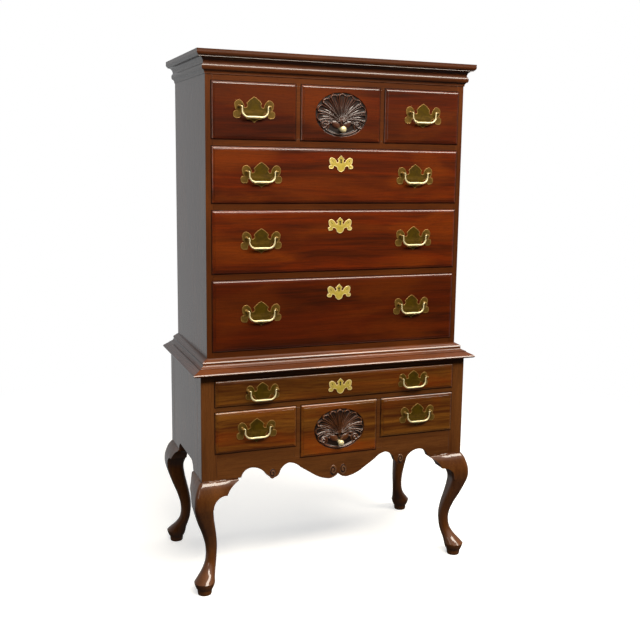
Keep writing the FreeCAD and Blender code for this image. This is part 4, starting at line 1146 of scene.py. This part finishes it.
def add_plate(shapes, loop, x, z, face, relief, number, hole=None):
    """A cast plate standing on the face: rings of the inset loop, and a flat middle that
    leaves the hole free, whose wall goes back to the wood. The patina lies in the sunk
    face, less so toward the ends."""
    rings = plate_rings(relief)
    loops = [inset_loop(loop, distance) for distance, out in rings]
    verts, faces = skin(np.array([upright(ring, face - out, x, z)
                                  for ring, (distance, out) in zip(loops, rings)]), caps=False)
    around = np.arange(len(loop))
    last = len(verts) - len(loop) + around
    groove = np.zeros(len(verts))
    groove[-2 * len(loop):] = np.tile(1 - 0.4 * ramp(np.abs(loop[:, 0]), 32, 50), 2)
    faces.append(around[None, ::-1])
    if hole is None:
        shapes.add(verts, faces + [last[None]], number, groove)
        return
    rim = upright(hole, face - rings[-1][1], x, z)
    floor = rim + [0, rings[-1][1] - 0.3, 0]
    first = len(verts) + np.arange(len(hole))
    below, following = first + len(hole), np.roll(first, -1)
    flat = [[Vector((*point, 0)) for point in ring] for ring in (loops[-1], hole)]
    middle = same_turn(np.array(tessellate_polygon(flat)), np.concatenate([loops[-1], hole]))
    faces += [np.append(last, first)[middle],
              np.stack([first, following, following + len(hole), below], axis=1),
              below[None]]
    numbers = np.full(sum(map(len, faces)), number)
    numbers[-1] += 1
    shapes.add(np.concatenate([verts, rim, floor]), faces, numbers,
               np.append(groove, np.ones(2 * len(hole))))


def same_turn(triangles, points):
    """Triangles that all turn the same way, by the sign of their area."""
    a, b, c = (points[triangles[:, k]] for k in range(3))
    area = (b - a)[:, 0] * (c - a)[:, 1] - (b - a)[:, 1] * (c - a)[:, 0]
    return np.where(area[:, None] > 0, triangles, triangles[:, ::-1])


def turned(profile, x, z, base, count=40):
    """A profile (radius, distance out) turned about a level axis: at each angle the point
    is the axis plus the radius times the cosine across and the sine up."""
    angle = np.linspace(0, 2 * math.pi, count + 1)[:-1]
    radius, out = profile[:, 0, None], profile[:, 1, None]
    return np.stack([x + radius * np.cos(angle), base - out + 0 * angle,
                     z + radius * np.sin(angle)], axis=-1)


def ball_head(reach=11.5, ball=4.6):
    """Foot, neck and ball of a bail post: the ball's radius is its size times the cosine,
    and its distance out the reach plus its size times the sine."""
    around = np.linspace(-0.9, math.pi / 2 - 0.02, 16)
    circle = np.stack([ball * np.cos(around), reach + ball * np.sin(around)], axis=1)
    base = outline((5.6, 0), [((5.6, 0.9),), ((4.9, 1.5), (3.6, 2.0)), ((2.7, 3.6),)], 5)
    return np.concatenate([base, circle])


# Place and lean of the dark cuts in a lock plate: flat ovals in painted shade standing in for
# pierced holes.
PIERCINGS = [(-30, 8, 0.5), (30, 8, -0.5)]


class HIGHBOY_OT_plates(HighboyPiece, bpy.types.Operator):
    """Cast plates with their posts, and the lock plates"""

    bl_idname = "highboy.plates"
    bl_label = "Plates"

    def execute(self, context):
        relief = bpy.context.scene.highboy_brass.relief
        for name in PULL_PIECES:
            shapes = Shapes()
            box, rails = front_box(name)
            face = rails - PROUD
            for node in bail_nodes(name):
                x, z = bail_place(node)[:2]
                add_plate(shapes, PLATE * SMALL_PLATE.get(name, 1), x, z, face, relief, 0)
                for shift in (-POST_REACH, POST_REACH):
                    shapes.add(*skin(turned(ball_head(), x + shift, z, face - THICK)), 0, 0.4)
            if name in LOCK_DROP:
                z = box[3] - LOCK_DROP[name]
                add_plate(shapes, LOCK, 0, z, face, relief, 1, KEYHOLE)
                for x, up, tilt in PIERCINGS:
                    shapes.add(*skin(self.slot(x, z + up, face - THICK + relief, tilt)), 2)
            make_piece(f"{name}_plates", shapes,
                       [plate_brass(), lock_brass(), keyhole_dark()],
                       f"{name}_drawer", [f"{name}_brasses"], 40)
        return {"FINISHED"}

    def slot(self, x, z, face, tilt):
        """A flat oval, half a tenth of a millimetre proud, turned by the tilt: its points
        are the cosine along its length and the sine across."""
        angle = np.linspace(0, 2 * math.pi, 17)[:-1]
        oval = np.stack([1.2 * np.cos(angle), 3.6 * np.sin(angle)], axis=1)
        c, s = math.cos(tilt), math.sin(tilt)
        return np.array([upright(oval @ [[c, s], [-s, c]], face - out, x, z)
                         for out in (-0.2, 0.05)])


# Radius of a bail at its pins.
PIN_RADIUS = 2.2


def bail_nodes(name):
    """The bails of a drawer."""
    return [node for node in frame["nodes"] if node.startswith(name) and node.endswith("bail")]


def bail_place(node):
    """Middle, pivot height and pivot depth of a bail, from its node's box."""
    low, high = node_box(node)
    return (low[0] + high[0]) / 2, high[2] - PIN_RADIUS, (low[1] + high[1]) / 2


def bail_path():
    """The rod's middle line from pin to pin, in the drawer's plane: level pins, an arc down,
    a straight side, the wide arc of the grip and its level middle, and the mirror image."""
    half = outline((54, 0), [((46.6, 0),), ((44.6, -0.8), (43.8, -2.8)), ((43.8, -13),),
                             ((37.65, -27.85), (22.8, -34)), ((0, -34),)], 9)
    straight = np.linspace((22.8, -34), (0, -34), 9)[1:]
    half = np.concatenate([half[:-1], straight])
    return np.concatenate([half, half[-2::-1] * [-1, 1]])


class HIGHBOY_OT_bails(HighboyPiece, bpy.types.Operator):
    """Swinging bail handles"""

    bl_idname = "highboy.bails"
    bl_label = "Bails"

    def execute(self, context):
        for name in PULL_PIECES:
            for node in bail_nodes(name):
                shapes = Shapes()
                shapes.add(*skin(self.rod(*bail_place(node))))
                make_piece(f"{node}_rod", shapes, [bail_brass()], body_of_node(node),
                           [node], 60)
        return {"FINISHED"}

    def rod(self, x, z, depth):
        """Circles across the path: a ring's point is the path plus the radius times the
        cosine along the path's normal and the sine out of the drawer. The radius grows
        from the pins to the middle of the grip."""
        path = bail_path()
        ahead = np.gradient(path, axis=0)
        ahead /= np.linalg.norm(ahead, axis=1)[:, None]
        normal = np.stack([-ahead[:, 1], ahead[:, 0]], axis=1)
        grip = bpy.context.scene.highboy_brass.grip
        radius = PIN_RADIUS + (grip - PIN_RADIUS) * ramp(-path[:, 1], 8, 34) * \
            (0.7 + 0.3 * ramp(26 - np.abs(path[:, 0]), 0, 26))
        angle = np.linspace(0, 2 * math.pi, 25)[:-1]
        wide = radius[:, None] * np.cos(angle)
        return np.stack([x + path[:, :1] + wide * normal[:, :1],
                         depth + radius[:, None] * np.sin(angle),
                         z + path[:, 1:] + wide * normal[:, 1:]], axis=-1)


# Half section of a knob: radius, and distance out from the front.
KNOB = outline((6.5, -4), [
    ((6.5, 3.0),), ((6.2, 4.0), (5.2, 4.6)), ((4.1, 6.0), (4.2, 8.2)),
    ((5.8, 10.6), (8.8, 13.6)), ((11.0, 17.4), (9.4, 21.2)), ((5.8, 24.2), (0.3, 25.2)),
], 8)


class HIGHBOY_OT_knobs(HighboyPiece, bpy.types.Operator):
    """Turned knobs of the shell drawers"""

    bl_idname = "highboy.knobs"
    bl_label = "Knobs"

    def execute(self, context):
        for name, (low, *_, knob_drop) in SHELLS.items():
            box, rails = front_box(name)
            height = (box[2] + box[3]) / 2 - low - knob_drop
            shapes = Shapes()
            shapes.add(*skin(turned(KNOB, 0, height, rails - PROUD)))
            make_piece(f"{name}_turned_knob", shapes, [bail_brass()], f"{name}_drawer",
                       [f"{name}_knob"], 50)
        return {"FINISHED"}


# Place, target and size of each light, in metres; its power is the setting of its name.
LAMPS = {"key": ((1.0, -3.05, 4.0), (0.3, 0, 1.1), (5.2, 1.0)),
         "top": ((0.4, -0.5, 4.3), (0, 0, 0), (3.6, 1.6)),
         "edge": ((-3.15, -2.85, 1.9), (0, -0.25, 1.6), (0.7, 1.3))}
# The view: the eye in metres, its right, up and forward directions, and the lens shift.
EYE = (-1.15478, -3.13791, 1.49634)
RIGHT = (0.92781863, -0.37264535, 0.01697157)
UP = (0.04430442, 0.15525587, 0.9868803)
FORWARD = (0.37039129, 0.91489401, -0.16055913)
SHIFT = (-0.0389, -0.0225)


class HIGHBOY_OT_stage(HighboyPiece, bpy.types.Operator):
    """Plain floor, soft light and camera"""

    bl_idname = "highboy.stage"
    bl_label = "Stage"

    def execute(self, context):
        stage = bpy.context.scene.highboy_stage
        self.floor(stage)
        for name, layout in LAMPS.items():
            self.lamp(name, *layout, getattr(stage, name))
        self.world()
        self.camera(stage)
        return {"FINISHED"}

    def floor(self, stage):
        """A pale floor that keeps a soft shadow near the feet, lightened by a painted glow of its
        own, and fades into the white background with the distance from the middle, where it glows
        plain white."""
        material, tree, shader, place = new_material("floor")
        away = add_node(tree, "ShaderNodeVectorMath", {0: place}, operation="LENGTH")
        far = remap(tree, away.outputs["Value"], 0.9, 3.0)
        pale = mix_colours(tree, noise(tree, place, 0.5), stage.floor,
                           toned(stage.floor, 0.98))
        plug(tree, shader, {
            "Base Color": mix_colours(tree, far, pale, (0, 0, 0)),
            "Emission Color": (1, 1, 1, 1),
            "Emission Strength": remap(tree, far, 0.0, 1.0, 0.55, 1.0),
            "Roughness": 1.0, "Specular IOR Level": 0.0})
        mesh = bpy.data.meshes.new("floor")
        reach = 60.0
        mesh.from_pydata([(-reach, -reach, 0), (reach, -reach, 0), (reach, reach, 0),
                          (-reach, reach, 0)], [], [(0, 1, 2, 3)])
        mesh.materials.append(material)
        floor = new_object("floor", mesh)
        floor.visible_glossy = floor.visible_diffuse = False

    def lamp(self, name, place, target, size, power):
        """A warm rectangle of light that faces its target."""
        light = bpy.data.lights.new(name, "AREA")
        light.shape = "RECTANGLE"
        light.size, light.size_y = size
        light.energy = power
        light.color = (1.0, 0.92, 0.80)
        lamp = new_object(name, light)
        lamp.location = place
        lamp.rotation_euler = (Vector(target) - Vector(place)).to_track_quat(
            "-Z", "Y").to_euler()
        lamp.visible_camera = False

    def world(self):
        """A plain studio: bright behind the object, dim in front of the drawers and grey to
        the sides, by how far a direction points to the back, and dark toward the ground.
        The ground before the front gives a little light back. Reflections also find a grey
        glow above the front, under the key light."""
        bpy.context.scene.view_settings.view_transform = "Standard"
        world = bpy.data.worlds.new("studio")
        bpy.context.scene.world = world
        world.use_nodes = True
        tree = world.node_tree
        tree.nodes.clear()
        path = tree.nodes.new("ShaderNodeLightPath")
        y, z = add_node(tree, "ShaderNodeSeparateXYZ", {
            0: tree.nodes.new("ShaderNodeTexCoord").outputs["Generated"]}).outputs[1:]
        around = plus(tree, remap(tree, y, -0.7, 0.15, 0.006, 0.30),
                      remap(tree, y, 0.2, 0.9, 0.0, 0.12))
        strength = times(tree, around, remap(tree, z, -0.52, -0.28, 0.10, 1.0))
        bounce = times(tree, remap(tree, z, -0.1, -0.6, 0, 0.07), remap(tree, y, 0.2, -0.4))
        glow = times(tree, remap(tree, z, 0.2, 0.6, 0.0, 0.7), remap(tree, y, 0.0, -0.4))
        glow = times(tree, glow, remap(tree, z, 0.95, 0.65, 0.25, 1.0))
        strength = plus(tree, plus(tree, strength, bounce),
                        times(tree, glow, path.outputs["Is Glossy Ray"]))
        seen = add_node(tree, "ShaderNodeBackground", {"Color": (1, 1, 1, 1), "Strength": 1.0})
        lit = add_node(tree, "ShaderNodeBackground", {"Color": (0.97, 0.99, 1, 1),
                                                      "Strength": strength})
        mix = add_node(tree, "ShaderNodeMixShader", {
            0: path.outputs["Is Camera Ray"], 1: lit.outputs[0], 2: seen.outputs[0]})
        tree.links.new(mix.outputs[0], tree.nodes.new("ShaderNodeOutputWorld").inputs[0])

    def camera(self, stage):
        """The view, with its framing as a small lens shift."""
        data = bpy.data.cameras.new("camera")
        data.sensor_width = 36.0
        data.lens = stage.lens
        data.shift_x, data.shift_y = SHIFT
        data.clip_end = 200
        turn = Matrix((Vector(RIGHT), Vector(UP), -Vector(FORWARD))).transposed().to_4x4()
        camera = new_object("camera", data)
        camera.matrix_world = Matrix.Translation(EYE) @ turn
        bpy.context.scene.camera = camera


class HIGHBOY_PT_panel(bpy.types.Panel):
    """Sizes, colours and pieces of the highboy"""

    bl_idname = "HIGHBOY_PT_panel"
    bl_label = "Highboy"
    bl_space_type = "VIEW_3D"
    bl_region_type = "UI"
    bl_category = "Highboy"

    def draw(self, context):
        for group in SETTINGS:
            values = getattr(context.scene, group)
            box = self.layout.box()
            box.label(text=values.__doc__)
            for key in values.bl_rna.properties.keys():
                if key not in ("rna_type", "name"):
                    box.prop(values, key)
        for operator in OPERATORS:
            self.layout.operator(operator.bl_idname)


SETTINGS = {"highboy_wood": HighboyWood, "highboy_brass": HighboyBrass,
            "highboy_carving": HighboyCarving, "highboy_stage": HighboyStage}
OPERATORS = [HIGHBOY_OT_case, HIGHBOY_OT_legs, HIGHBOY_OT_brackets, HIGHBOY_OT_mouldings,
             HIGHBOY_OT_apron, HIGHBOY_OT_fronts, HIGHBOY_OT_gap_shadows, HIGHBOY_OT_shells,
             HIGHBOY_OT_boxes, HIGHBOY_OT_plates, HIGHBOY_OT_bails, HIGHBOY_OT_knobs,
             HIGHBOY_OT_stage]


def register():
    for group in SETTINGS.values():
        bpy.utils.register_class(group)
    for name, group in SETTINGS.items():
        setattr(bpy.types.Scene, name, PointerProperty(type=group))
    for operator in OPERATORS:
        bpy.utils.register_class(operator)
    bpy.utils.register_class(HIGHBOY_PT_panel)


def unregister():
    bpy.utils.unregister_class(HIGHBOY_PT_panel)
    for operator in reversed(OPERATORS):
        bpy.utils.unregister_class(operator)
    for name, group in reversed(SETTINGS.items()):
        delattr(bpy.types.Scene, name)
        bpy.utils.unregister_class(group)


def main():
    register()
    for operator in OPERATORS:
        family, action = operator.bl_idname.split(".")
        getattr(getattr(bpy.ops, family), action)()


if __name__ == "__main__":
    main()
